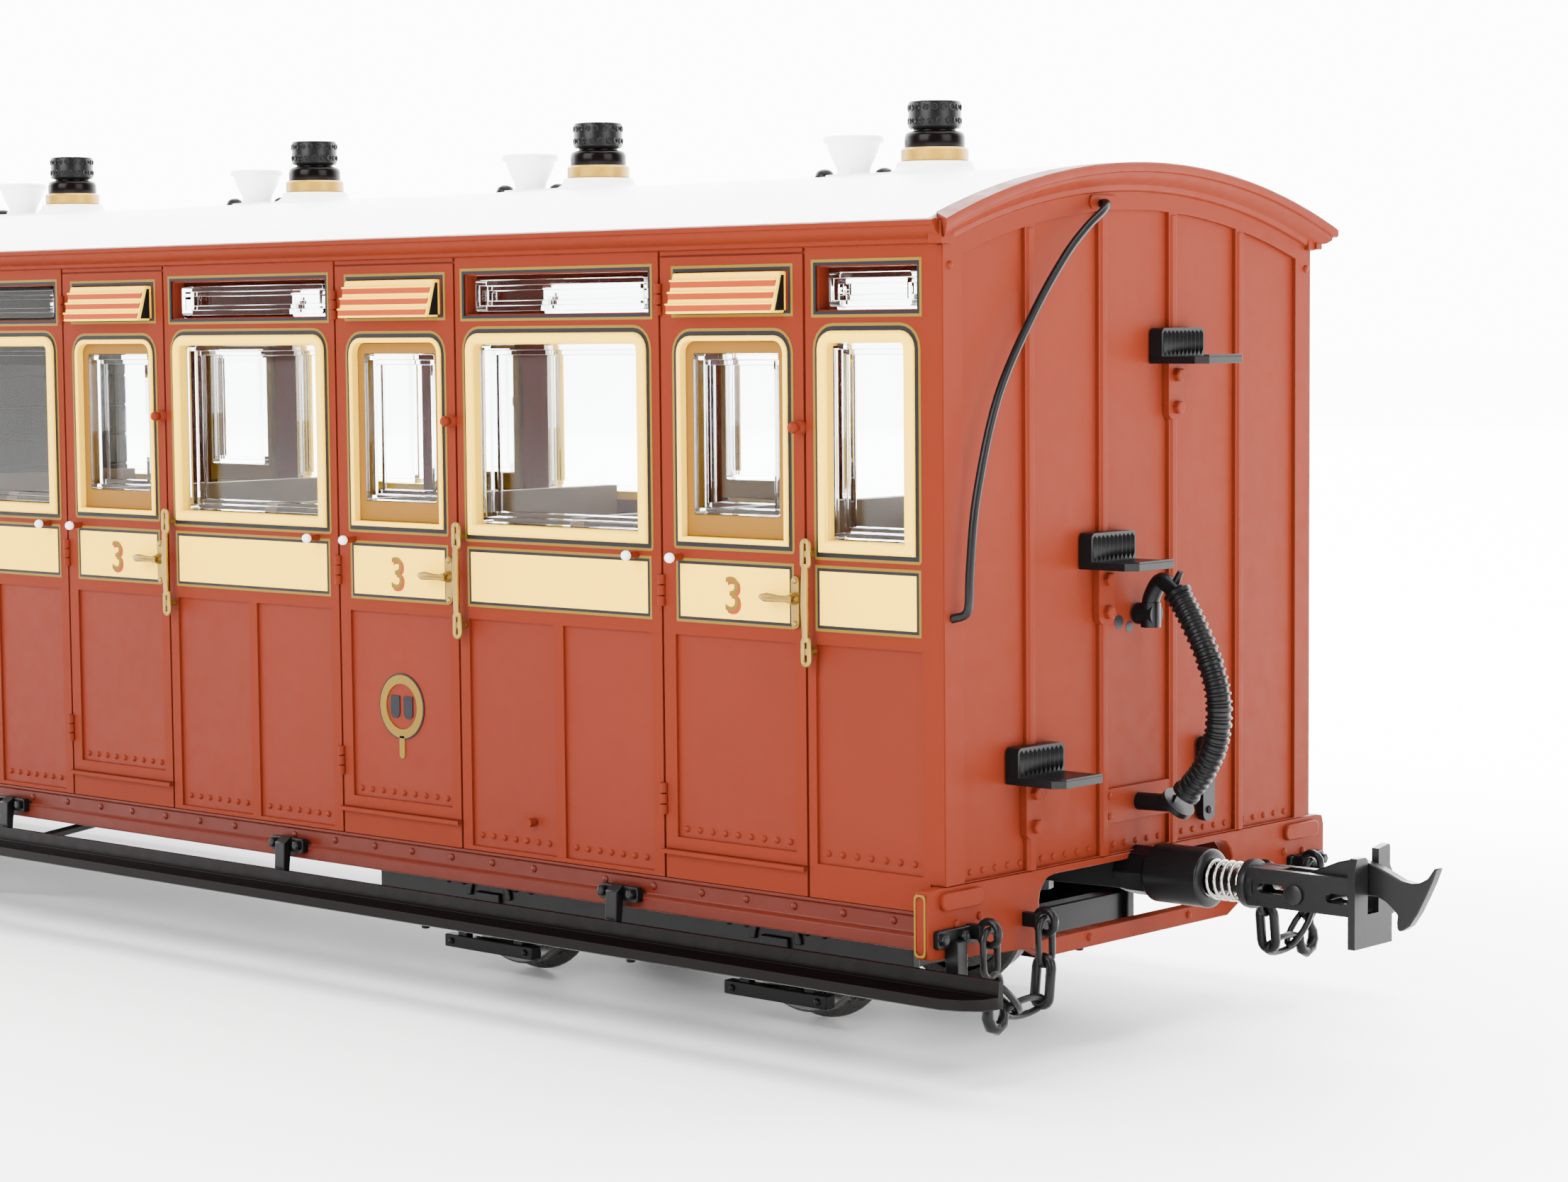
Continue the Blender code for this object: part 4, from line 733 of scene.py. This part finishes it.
def make_end_panels():
    panel = Shape()
    floor = BASE + 1.85
    outline = arc(ROOF_R - 1.6, 20.95, 24) + [(-20.95, floor), (20.95, floor)]
    panel.prism("X", outline, END - 1.3, END - 0.32)
    twin("end_sheet", panel, RED, node_of="end_panel", smooth=30)
    frame_shape = Shape()
    edges = [-19.04, *BEADS, 19.04]
    openings = []
    for i in range(5):
        low = edges[i] + (0.5 if i else 0)
        high = edges[i + 1] - (0.5 if i < 4 else 0)
        across = [low + (high - low) * k / 6 for k in range(7)]
        top = [(y, ROOF_Z + math.sqrt(BOARD_TOP_R ** 2 - y ** 2)) for y in across]
        openings.append([(low, floor + 0.06), *top, (high, floor + 0.06)])
    frame_shape.plate("X", [outline, *openings], END - 0.35, END)
    for y in BEADS:
        top = BASE + 46.0 - y * y / 120
        bead = [(-0.4, -0.42), (-0.05, -0.42), (0.12, -0.22), (0.12, 0.22), (-0.05, 0.42), (-0.4, 0.42)]
        frame_shape.prism("Z", moved(bead, END, y), floor, top - 0.4)
    frame_shape.box((END - 0.4, END - 0.02), (-4.05, 3.6), (BASE + 3.98, BASE + 6.38))
    frame_shape.prism("X", rounded(-5.6, -2.6, BASE + 45.75, BASE + 46.7, 0.4, 0.4), END - 0.3, END + 0.15)
    for y, top in STEPS:
        frame_shape.prism("X", rounded(y - 0.85, y + 0.85, BASE + top - 4.35, BASE + top - 0.2, 0.1, 0.5),
                          END - 0.3, END + 0.25)
        for drop in (1.3, 3.55):
            frame_shape.hexagon("X", (y + 0.1, BASE + top - drop), END + 0.25, 0.5)
    twin("end_framing", frame_shape, RED, bevel=0.08)
    heads = Shape()
    for i in range(5):
        middle = (edges[i] + edges[i + 1]) / 2
        for k in range(5):
            heads.dome("X", (middle + (k - 2) * 1.3, floor + 0.6), END - 0.35, 0.24)
    for y in (-20.3, 20.3):
        heads.dome("X", (y, BASE + 41.9), END, 0.28)
    for y, h in ((-3.4, 4.5), (-3.4, 5.9)):
        heads.dome("X", (y, BASE + h), END - 0.02, 0.25)
    twin("end_rivets", heads, RED, smooth=60)
    hole = Shape().rod("X", END - 0.5, END - 0.3, (-1.9, BASE + 17.7), 0.5, 16)
    hole.rod("X", END - 0.5, END - 0.3, (-0.7, BASE + 17.3), 0.4, 16)
    twin("end_hole", hole, LINE)


def make_end_steps():
    treads = Shape()
    for y, top in STEPS:
        z = BASE + top
        tread = [(-0.2, -2.5), (3.6, -2.5), (4.3, -1.8), (4.3, 2.1), (3.9, 2.5), (-0.2, 2.5)]
        treads.prism("Z", moved(tread, END, y), z - 0.5, z)
        lip = [(3.9, -1.9), (4.3, -1.8), (4.3, 2.1), (3.9, 2.1)]
        treads.prism("Z", moved(lip, END, y), z - 0.05, z + 0.12)
        treads.prism("X", rounded(y - 2.5, y + 2.5, z - 0.1, z + 1.95, 0.4, 0.1), END - 0.2, END + 0.85)
        for k in range(10):
            ridge = y - 2.1 + k * 0.465
            front = END + 0.82
            rows = ((0.03, 0.03, 0.02), (0.21, 0.24, 0.45), (0.21, 0.24, 1.55), (0.05, 0.03, 1.8))
            treads.loft([[(front, ridge - half, z + up), (front + out, ridge, z + up),
                          (front, ridge + half, z + up)] for half, out, up in rows])
    twin("end_steps", treads, BLACK, bevel=0.05)


def curve_points(rows, samples):
    """Smooth Catmull-Rom points through (out from the end, y, height above the base)."""
    given = [Vector((END + x, y, BASE + h)) for x, y, h in rows]
    ends = [given[0] * 2 - given[1], *given, given[-1] * 2 - given[-2]]
    path = []
    for a, b, c, d in zip(ends, ends[1:], ends[2:], ends[3:]):
        for i in range(samples):
            t = i / samples
            path.append(0.5 * ((2 * b) + (c - a) * t + (2 * a - 5 * b + 4 * c - d) * t * t
                               + (3 * b - a - 3 * c + d) * t ** 3))
    return path + [given[-1]]


HOSE_ROUTE = ((0.0, 0, 18.15), (0.85, 0, 18.3), (1.1, 0, 19.4), (1.95, 0, 20.5), (3.2, 0, 19.8),
              (4.5, 0, 17.85), (5.8, 0, 15.4), (6.6, 0, 12.85), (6.5, 0, 10.2), (5.5, 0, 7.9),
              (3.9, 0, 6.0))


def make_hoses():
    pipes = Shape()
    neck = curve_points(HOSE_ROUTE[:5], 6)
    pipes.tube(neck, [0.5 if i < 5 else 0.62 for i in range(len(neck))], 14)
    pipes.rod("X", END - 0.1, END + 1.5, (0, BASE + 18.2), 0.75, 16)
    pipes.rod("Z", BASE + 17.3, BASE + 19.0, (END + 1.0, 0), 0.7, 16)
    pipes.tube([(END + 3.0, 0, BASE + 20.3), (END + 3.5, 0, BASE + 21.2)], [0.3, 0.22], 10)
    pipes.tube([(END - 0.1, 0, BASE + 5.2), (END + 3.4, 0, BASE + 5.3)], 0.62, 14)
    pipes.tube([(END + 3.1, 0, BASE + 5.15), (END + 3.4, 0, BASE + 5.45)], [1.25, 1.25], 18)
    strap = rounded(6.9, 8.3, BASE + 3.0, BASE + 9.0, 0.5, 0.6)
    pipes.prism("X", strap, END - 0.1, END + 0.5)
    pipes.dome("X", (7.6, BASE + 3.8), END + 0.5, 0.3)
    twin("brake_pipes", pipes, BLACK, bevel=0.04)
    hose = Shape()
    path = curve_points(HOSE_ROUTE[4:], 26)
    ribs = [0.78 + 0.14 * (math.sin(i * math.pi / 2.5) > 0) for i in range(len(path))]
    ends = len(path) - 1
    ribs = [1.0 if i < 4 or i > ends - 4 else r for i, r in enumerate(ribs)]
    hose.tube(path, ribs, 16)
    twin("brake_hose", hose, RUBBER, node_of="vacuum_hose", smooth=25)


RAIL_ROUTE = ((0.0, -4.4, 46.1), (0.8, -4.7, 46.1), (1.2, -5.6, 45.6), (1.2, -7.5, 44.4), (1.2, -9.9, 42.4),
              (1.2, -13.3, 38.6), (1.2, -16.9, 33.4), (1.2, -19.1, 27.1), (1.2, -19.8, 22.5),
              (1.2, -19.95, 20.2), (0.9, -20.0, 19.5), (0.0, -20.2, 19.2))


def make_end_rails():
    rail = Shape().tube(curve_points(RAIL_ROUTE, 6), 0.29, 12)
    twin("climbing_rail", rail, BLACK, node_of="end_rail", smooth=60)


# ---- underframe ----

EYE_X = END + 1.75                 # middle of the chain eyes, ahead of the headstock


def make_headstocks():
    beam = Shape()
    half = [(10.6, 7.4), (12.2, 8.2), (21.6, 8.75), (22.7, 8.85), (22.9, 9.6), (22.9, 12.6), (22.7, 13.3),
            (22.0, 13.4)]
    outline = half + [(-y, z) for y, z in reversed(half)]
    opening = rounded(-11.2, 11.2, 8.6, 12.9, 1.6, 0.1)
    beam.plate("X", [outline, opening], END - 1.15, END + 0.02)
    for s in (1, -1):
        beam.prism("X", rounded(*sorted((s * 17.5, s * 21.7)), 11.95, 13.1, 0.5, 0.5), END - 0.1, END + 0.42)
        for y, z in ((20.0, 10.95), (17.6, 11.15), (5.75, 8.1)):
            beam.dome("X", (s * y, z), END, 0.32)
    twin("headstock_beam", beam, RED, node_of="headstock", bevel=0.12)
    line = Shape()
    for s in (1, -1):
        outer, inner = [rounded(END - 1.06 + i, END - 0.1 - i, 9.05 + i, 13.15 - i, 0.3, 0.3)
                        for i in (0, 0.14)]
        rows = ((outer, 22.93), (outer, 22.95), (inner, 22.95), (inner, 22.93))
        line.loft([[(x, s * y, z) for x, z in loop] for loop, y in rows], closed=True)
    twin("headstock_line", line, GOLD)
    irons = Shape()
    for s in (1, -1):
        for y, z in ((18.7, 10.3), (12.8, 10.3)):
            eye = [(EYE_X + 0.8 * math.cos(t), s * y, z + 0.8 * math.sin(t)) for t in turns(14)]
            irons.tube(eye, 0.28, 8, closed=True)
            irons.box((END, END + 1.2), (s * y - 0.3, s * y + 0.3), (z - 0.45, z + 0.5))
        irons.prism("X", rounded(*sorted((s * 18.0, s * 22.3)), 9.55, 10.75, 0.2, 0.2), END, END + 0.45)
        for y in (21.9, 19.9):
            irons.hexagon("X", (s * y, 10.2), END + 0.45, 0.42)
        irons.box((END + 0.1, END + 1.15), sorted((s * 20.2, s * 21.2)), (7.1, 10.0))
        irons.box((END + 0.1, END + 1.15), sorted((s * 20.2, s * 22.9)), (7.0, 7.5))
    twin("headstock_irons", irons, BLACK, bevel=0.06)


def make_solebars():
    bar = Shape()
    half = END - 1.2
    profile = [(20.5, 8.9), (20.95, 9.05), (20.95, 9.9), (20.6, 10.13), (20.6, 11.2), (20.9, 11.3),
               (20.9, 11.55), (19.4, 11.55), (19.4, 13.2), (17.6, 13.2), (17.6, 9.9), (18.9, 9.9),
               (18.9, 8.9)]
    bar.prism("X", [(-y, z) for y, z in profile], -half, half)
    for x in DOORS:
        for dx in (-13.0, -8.2, -3.6, 0.6, 5.0, 9.4, 13.8):
            if abs(x + dx) < half - 1:
                bar.dome("Y", (x + dx, 10.72), -20.55, 0.3, -1)
    # Painted shade: the darker solebar red stands for the shade under the body.
    sides("solebar_channel", bar, SHADED_SOLEBAR_RED, node_of="solebar", bevel=0.06)


def make_footboards():
    board = Shape()
    end = END + 5.9
    profile = [(-22.5, 8.3), (-22.9, 8.3), (-23.0, 7.25), (-25.3, 7.2), (-25.7, 7.3), (-25.7, 6.6),
               (-25.5, 6.5), (-22.5, 6.5)]
    stations = [(-end, 2.6), (-end + 0.3, 1.4), (-end + 1.2, 0.5), (-end + 2.6, 0.0)]
    stations += [(-x, cut) for x, cut in reversed(stations)]
    board.loft([[(x, min(y + cut * (y < -24.5), -22.4), z) for y, z in profile] for x, cut in stations])
    sides("footboard_tread", board, GLOSS, node_of="footboard", bevel=0.08)
    irons = Shape()
    for i in range(-3, 4):
        x = i * 36.2
        irons.prism("Y", rounded(x - 1.9, x + 1.9, 9.5, 10.6, 0.2, 0.2), -21.5, -20.9)
        for dx in (-1.4, 1.4):
            irons.hexagon("Y", (x + dx, 10.1), -21.5, 0.4, -1)
        irons.prism("X", [(-20.9, 10.5), (-21.5, 10.7), (-22.2, 10.3), (-22.3, 8.2), (-22.7, 8.2),
                          (-22.7, 7.0), (-21.8, 7.0), (-21.5, 9.6), (-20.9, 9.6)], x - 0.55, x + 0.55)
    sides("footboard_irons", irons, BLACK, bevel=0.08)


def make_inside():
    """Planked partition; the seats, floor, truss rods and pivot screws keep their own shape."""
    repaint(SEAT, "benches")
    repaint(BLACK, "chassis_floor", "truss_rod_left", "truss_rod_right")
    for end in ("front", "rear"):
        repaint(OXIDE, f"bogie_pivot_screw_{end}", f"drawbar_pivot_screw_{end}")
    x = sum(v.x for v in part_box("partition")) / 2 / MM
    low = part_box("partition")[0].z / MM
    wall = Shape()
    for k in range(13):
        z = low + k * 2.9
        wall.box((x - 0.45, x + 0.45), (-18.5, 18.5), (z, z + 2.75))
    wall.box((x - 0.3, x + 0.3), (-18.5, 18.5), (low, low + 37.6))
    single("partition_planks", wall, PLANK, replaced=("partition",), bevel=0.08)


# ---- bogies ----

PIVOT = END - 37.3
AXLES = (PIVOT + 14.875, PIVOT - 14.875)


def make_bogies():
    bodies = ("bogie_front", "bogie_rear")
    frames = Shape()
    top, foot = 8.1, 4.2
    dip = [(-5.5, foot), (-5.0, foot - 0.6), (5.0, foot - 0.6), (5.5, foot)]
    outline = [(PIVOT - 27.5, foot + 0.5), (PIVOT - 24, foot), *moved(dip, AXLES[1], 0)]
    outline += [(PIVOT - 4, foot - 0.4), (PIVOT + 4, foot - 0.4), *moved(dip, AXLES[0], 0)]
    outline += [(PIVOT + 24, foot), (PIVOT + 27.5, foot + 0.5), (PIVOT + 27.5, top), (PIVOT - 27.5, top)]
    frames.prism("Y", outline, 11.9, 12.7)
    for axle in AXLES:
        arch = [(axle + r * math.cos(math.radians(a)), 6.2 + r * math.sin(math.radians(a)))
                for r, angles in ((2.5, range(0, 181, 15)), (1.9, range(180, -1, -15))) for a in angles]
        frames.prism("Y", arch, 12.6, 12.95)
        frames.box((axle - 1.3, axle + 1.3), (12.5, 13.0), (4.0, 6.6))
        for dx in (-4.6, -2.9, 2.9, 4.6):
            frames.dome("Y", (axle + dx, 7.2), 12.7, 0.36)
            frames.dome("Y", (axle + dx, 4.4), 12.7, 0.32)
        frames.box((axle - 4.9, axle + 4.9), (12.0, 13.0), (1.9, 2.9))
        frames.box((axle - 3.6, axle - 2.6), (12.1, 12.8), (2.5, 4.0))
        frames.box((axle + 2.6, axle + 3.6), (12.1, 12.8), (2.5, 4.0))
        for dx in (-4.1, 4.1):
            frames.dome("Y", (axle + dx, 2.4), 13.0, 0.3)
    for x in range(-24, 25, 6):
        frames.hexagon("Y", (PIVOT + x, 7.4), 12.7, 0.38)
    for x in (-22.6, 0.0, 22.6):
        pin = [(0, 2.9), (0.35, 2.9), (0.35, 3.2), (0.65, 3.2), (0.65, 3.6), (0.4, 3.65), (0.4, 4.4),
               (0, 4.4)]
        frames.lathe("Z", pin, (PIVOT + x, 12.4), 12)
    frames.mirrored_y()
    frames.box((PIVOT - 4, PIVOT + 4), (-12.2, 12.2), (7.0, 9.25))
    for s in (1, -1):
        frames.box(sorted((PIVOT + s * 25.6, PIVOT + s * 27.0)), (-12.2, 12.2), (5.6, 7.9))
        frames.box(sorted((PIVOT + s * 5.4, PIVOT + s * 6.2)), (-12.2, 12.2), (6.6, 8.0))
    twin("bogie_sides", frames, BLACK, bodies, node_of="bogie_frame", bevel=0.1)
    for number, x in enumerate((AXLES[0], AXLES[1], -AXLES[0], -AXLES[1]), 1):
        make_wheelset(number, x)


def make_wheelset(number, x):
    wheels = Shape()
    profile = [(1.2, 9.6), (2.0, 9.6), (2.2, 9.2), (4.4, 9.1), (4.7, 9.75), (5.75, 9.9), (5.92, 9.8),
               (5.95, 8.3), (6.1, 8.1), (6.55, 7.8), (6.6, 7.55), (6.4, 7.3), (5.4, 7.25), (5.2, 7.6),
               (2.2, 7.7), (1.2, 7.5)]
    wheels.lathe("Y", profile, (x, 6.6), 56)
    wheels.mirrored_y()
    left, right = f"wheel_{number}_left", f"wheel_{number}_right"
    single(f"wheel_pair_{number}", wheels, TYRE, f"wheelset_{number}", (left, right), bevel=0.05, smooth=25)
    half = [(1.0, 6.8), (1.25, 7.0), (1.25, 11.5), (0.55, 11.6), (0.5, 12.4), (0, 12.4)]
    axle = Shape().lathe("Y", [(r, -y) for r, y in reversed(half)] + half, (x, 6.6), 24)
    single(f"axle_shaft_{number}", axle, OXIDE, f"wheelset_{number}", (f"axle_{number}",), smooth=30)


# ---- drawgear ----

LEVEL = 12.02                      # height of the drawgear's axis


def make_couplers():
    drawbars = ("drawbar_front", "drawbar_rear")
    arm = Shape()
    front, back = END + 6.25, END + 1.2
    arm.lathe("X", [(1.25, front), (1.75, front), (2.03, front - 0.2), (2.03, back + 0.5), (1.6, back),
                    (1.1, back), (1.1, front - 3.2), (1.25, front - 0.2)], (0, LEVEL), 36)
    arm.lathe("X", [(0, back + 0.1), (1.15, back + 0.1), (1.15, back + 1.0), (0, back + 1.0)], (0, LEVEL), 24)
    plan = [(END - 11.2, -1.2), (END - 9.5, -2.0), (END - 5, -1.7), (END - 1.5, -1.2), (back + 0.6, -1.2),
            (back + 0.6, 1.2), (END - 1.5, 1.2), (END - 5, 1.7), (END - 9.5, 2.0), (END - 11.2, 1.2)]
    arm.prism("Z", plan, 10.8, 12.6)
    arm.lathe("X", [(0, END - 1.4), (1.6, END - 1.2), (1.75, END - 0.2), (1.75, back + 0.6), (0, back + 0.6)],
              (0, LEVEL), 8)
    twin("drawbar_casting", arm, BLACK, drawbars, node_of="drawbar_socket", bevel=0.08)
    coil = Shape()
    turns, per = 5.5, 20
    count = int(turns * per)
    path = []
    for i in range(count + 1):
        t = 2 * math.pi * i / per
        share = i / count
        path.append((front - 0.6 + 3.35 * share, 1.28 * math.cos(t), LEVEL + 1.28 * math.sin(t)))
    coil.tube(path, 0.14, 8)
    springs = twin("buffing_spring", coil, STEEL, drawbars, node_of="coupler_spring", smooth=80)
    for spring, tag, way in zip(springs, ("front", "rear"), (1, -1)):
        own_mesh(spring)
    make_shanks()
    make_hooks()


def make_shanks():
    bodies = ("coupler_front", "coupler_rear")
    shank = Shape()
    x0 = END + 9.2
    shank.lathe("X", [(0, END + 4.3), (0.8, END + 4.3), (0.8, x0), (1.65, x0), (1.7, x0 + 0.3),
                      (1.65, x0 + 0.55), (1.35, x0 + 0.6), (1.35, x0 + 1.0), (0, x0 + 1.0)], (0, LEVEL), 28)
    low, high = LEVEL - 1.25, LEVEL + 1.3
    for s in (1, -1):
        edge = rounded(x0 + 0.5, END + 18.5, low, high, 0.15, 0.15)
        slot_a = rounded(END + 10.6, END + 12.7, LEVEL - 0.35, LEVEL + 0.3, 0.3, 0.3)
        slot_b = rounded(END + 16.0, END + 17.7, LEVEL - 0.45, LEVEL + 0.2, 0.3, 0.3)
        shank.plate("Y", [edge, slot_a, slot_b], *sorted((s * 0.62, s * 1.2)))
        shank.lathe("Y", [(0, s * 1.1), (0.68, s * 1.1), (0.66, s * 1.42), (0.5, s * 1.5), (0, s * 1.5)],
                    (END + 13.6, LEVEL - 0.17), 20)
    shank.box((x0 + 0.5, END + 12.0), (-0.7, 0.7), (low + 0.02, low + 0.5))
    shank.box((x0 + 0.5, END + 12.0), (-0.7, 0.7), (high - 0.5, high - 0.02))
    face = END + 18.35
    plate = [(-2.2, -3.18), (2.3, -3.18), (2.3, 1.6), (2.05, 2.0), (2.05, 3.25), (1.9, 3.4), (0.65, 3.2),
             (0.65, -1.0), (-0.65, -1.0), (-0.65, 2.6), (-0.9, 2.8), (-1.9, 2.8), (-2.05, 2.5), (-2.2, 2.0)]
    shank.plate("X", [moved(plate, 0, LEVEL)], face, face + 0.55)
    twin("coupler_head", shank, OXIDE, bodies, node_of="coupler_shank", bevel=0.07)


def make_hooks():
    px, pz = END + 13.6, LEVEL - 0.17
    outline = [(px + math.cos(math.radians(a)), pz + math.sin(math.radians(a))) for a in range(110, 286, 25)]
    rows = ((14.8, -0.75), (16.6, -0.15), (18.5, 0.2), (19.4, 0.2), (20.1, -0.08), (20.7, -0.55),
            (21.0, -0.9), (20.93, -1.3), (20.95, -1.7), (21.1, -1.93), (21.4, -1.85), (21.9, -1.5),
            (22.5, -0.6), (23.1, 0.55), (23.6, 1.6), (23.93, 2.45), (23.75, 2.5), (23.2, 1.75), (22.6, 1.4),
            (22.0, 1.32), (21.3, 1.42), (20.4, 1.8), (19.4, 2.2), (18.4, 2.44), (17.4, 2.46), (16.4, 2.2),
            (15.2, 1.7), (14.0, 1.25))
    outline += moved(rows, END, LEVEL)
    blade = Shape().prism("Y", outline, -0.42, 0.42)
    twin("hook_blade", blade, OXIDE, ("hook_front", "hook_rear"), node_of="coupling_hook", bevel=0.1)


def link(y, z_top, z_bottom, half, turned=False, lean=0.0):
    """Closed oval of points; turned faces it along the coach."""
    points = []
    for u, z in stadium(0, (z_top + z_bottom) / 2, half, (z_top - z_bottom) / 2 - half, 8):
        shift = lean * (z_top - z)
        points.append((EYE_X + (u if turned else 0), y + shift + (0 if turned else u), z))
    return points


def make_side_chains():
    """Short safety chain between two eyes, with its hook hanging from the outer link."""
    chain = Shape()
    eye = 10.3
    chain.tube(link(18.6, eye + 0.25, eye - 2.9, 0.72), 0.24, 8, closed=True)
    chain.tube(link(12.8, eye + 0.25, eye - 2.9, 0.72), 0.24, 8, closed=True)
    chain.tube(link(12.9, eye - 2.4, eye - 5.5, 0.6, True, 0.12), 0.36, 8, closed=True)
    low = [(0.3 * math.sin(t), 15.0 + 2.0 * math.cos(t), -5.35 + 0.62 * math.sin(t)) for t in turns(16)]
    rise = [(0.55 * math.sin(t), 17.1 + 1.35 * math.cos(t), -4.35 + 1.2 * math.cos(t)) for t in turns(14)]
    ring = [(0, 18.3 + 0.62 * math.cos(t), -3.3 + 0.62 * math.sin(t)) for t in turns(12)]
    for loop, r in ((low, 0.24), (rise, 0.24), (ring, 0.3)):
        chain.tube([(EYE_X + x, y, eye + z) for x, y, z in loop], r, 8, closed=True)
    bends = ((0.1, 3.8), (0.2, 4.4), (0.55, 4.9), (0.6, 5.5), (0.3, 6.1), (-0.3, 6.35), (-0.9, 6.1),
             (-1.1, 5.5), (-0.9, 4.9))
    hook = [(EYE_X, 18.3 + y, eye - z) for y, z in bends]
    chain.tube(hook, [0.3, 0.3, 0.36, 0.42, 0.45, 0.45, 0.4, 0.34, 0.16], 10)
    mesh = mesh_of("safety_chain", chain)
    flip = Matrix.Scale(-1, 4, (0, 1, 0))
    for end in ("front", "rear"):
        for side in ("left", "right"):
            copy = mesh.copy()
            if (side == "right") == (end == "front"):
                copy.transform(flip)
                copy.flip_normals()
            if end == "rear":
                copy.transform(HALF_TURN)
            place = f"{end}_{side}"
            add(f"safety_chain_{place}", copy, OXIDE, f"chain_{place}", (f"side_chain_{place}",), smooth=80)


# ---- stage, light and camera ----

def make_stage():
    mesh = bpy.data.meshes.new("floor")
    mesh.from_pydata([(-4, -4, 0), (4, -4, 0), (4, 4, 0), (-4, 4, 0)], [], [(0, 1, 2, 3)])
    floor = bpy.data.objects.new("floor", mesh)
    bpy.context.scene.collection.objects.link(floor)
    white = finish("stage_white", (0.93, 0.93, 0.93), 0.55, vary=0.0, rough_vary=0.0, bump=0.0)
    shader = white.node_tree.nodes["Principled BSDF"]
    # Painted light: the floor's own glow, kept off the ground beside the coach.
    shader.inputs["Emission Color"].default_value = (1, 1, 1, 1)
    glow_beyond_coach(white.node_tree, shader.inputs["Emission Strength"])
    mesh.materials.append(white)
    make_backdrop()
    lamps = (("top", (0.15, 0.1, 1.1), 34.0, 1.0), ("side", (0.05, -0.95, 0.55), 29.0, 0.7),
             ("end", (1.05, -0.05, 0.45), 15.0, 0.6), ("behind", (-0.7, 0.9, 0.5), 14.0, 0.8))
    for name, place, power, size in lamps:
        data = bpy.data.lights.new(name, "AREA")
        data.energy = power
        data.size = size
        lamp = bpy.data.objects.new(name, data)
        lamp.location = place
        lamp.rotation_euler = (Vector((0, 0, 0.03)) - Vector(place)).to_track_quat("-Z", "Y").to_euler()
        bpy.context.scene.collection.objects.link(lamp)


def glow_beyond_coach(tree, strength):
    """Painted light: the floor glows past the coach's front and left, and is plain beside the coach so that
    its shadow shows.
    """
    where = node(tree, "ShaderNodeTexCoord")
    parts = node(tree, "ShaderNodeSeparateXYZ")
    tree.links.new(where.outputs["Object"], parts.inputs["Vector"])
    furthest = node(tree, "ShaderNodeMath", operation="MAXIMUM")
    for slot, (axis, edge) in enumerate((("X", 0.16), ("Y", 0.03))):
        beyond = node(tree, "ShaderNodeMath", operation="SUBTRACT")
        beyond.inputs[1].default_value = edge
        tree.links.new(parts.outputs[axis], beyond.inputs[0])
        tree.links.new(beyond.outputs["Value"], furthest.inputs[slot])
    span = node(tree, "ShaderNodeMapRange", interpolation_type="SMOOTHSTEP")
    for socket, value in (("From Min", 0.0), ("From Max", 0.12), ("To Min", 0.0), ("To Max", 7.0)):
        span.inputs[socket].default_value = value
    tree.links.new(furthest.outputs["Value"], span.inputs["Value"])
    tree.links.new(span.outputs["Result"], strength)


def make_backdrop():
    """Studio surround: bright behind the coach, dim on the near side so that dark parts stay dark."""
    world = bpy.data.worlds.new("studio")
    bpy.context.scene.world = world
    world.use_nodes = True
    tree = world.node_tree
    sky = tree.nodes["Background"]
    where = node(tree, "ShaderNodeTexCoord")
    along = node(tree, "ShaderNodeVectorMath", operation="DOT_PRODUCT")
    along.inputs[1].default_value = (-0.67, 0.74, 0.0)
    span = node(tree, "ShaderNodeMapRange", interpolation_type="SMOOTHSTEP")
    span.inputs["From Min"].default_value = -0.1
    span.inputs["From Max"].default_value = 0.7
    span.inputs["To Min"].default_value = 0.5
    span.inputs["To Max"].default_value = 13.0
    tree.links.new(where.outputs["Generated"], along.inputs[0])
    tree.links.new(along.outputs["Value"], span.inputs["Value"])
    tree.links.new(span.outputs["Result"], sky.inputs["Strength"])
    sky.inputs["Color"].default_value = (1.0, 1.0, 1.0, 1)


def make_camera():
    """Camera in front of the near corner, looking along the side towards the rear."""
    yaw, pitch, roll = -0.7374, -0.0772, -0.009
    forward = Vector((math.sin(yaw) * math.cos(pitch), math.cos(yaw) * math.cos(pitch), math.sin(pitch)))
    level = Vector((math.cos(yaw), -math.sin(yaw), 0))
    upright = level.cross(forward)
    right = level * math.cos(roll) + upright * math.sin(roll)
    up = upright * math.cos(roll) - level * math.sin(roll)
    turn = Matrix((right, up, -forward)).transposed().to_4x4()
    data = bpy.data.cameras.new("camera")
    data.lens = 78.98
    data.sensor_width = 36.0
    data.clip_start = 0.01
    camera = bpy.data.objects.new("camera", data)
    camera.matrix_world = Matrix.Translation(Vector((END + 140.36, -190.8, BASE + 38.18)) * MM) @ turn
    bpy.context.scene.collection.objects.link(camera)
    bpy.context.scene.camera = camera


MAKERS = (make_camera, make_stage, make_side_panels, make_rivets, make_lining, make_window_frames,
          make_glazing, make_louvres, make_door_furniture, make_class_marks, make_roof, make_end_panels,
          make_end_steps, make_hoses, make_end_rails, make_headstocks, make_solebars, make_footboards,
          make_inside, make_bogies, make_couplers, make_side_chains)
for make in MAKERS:
    make()
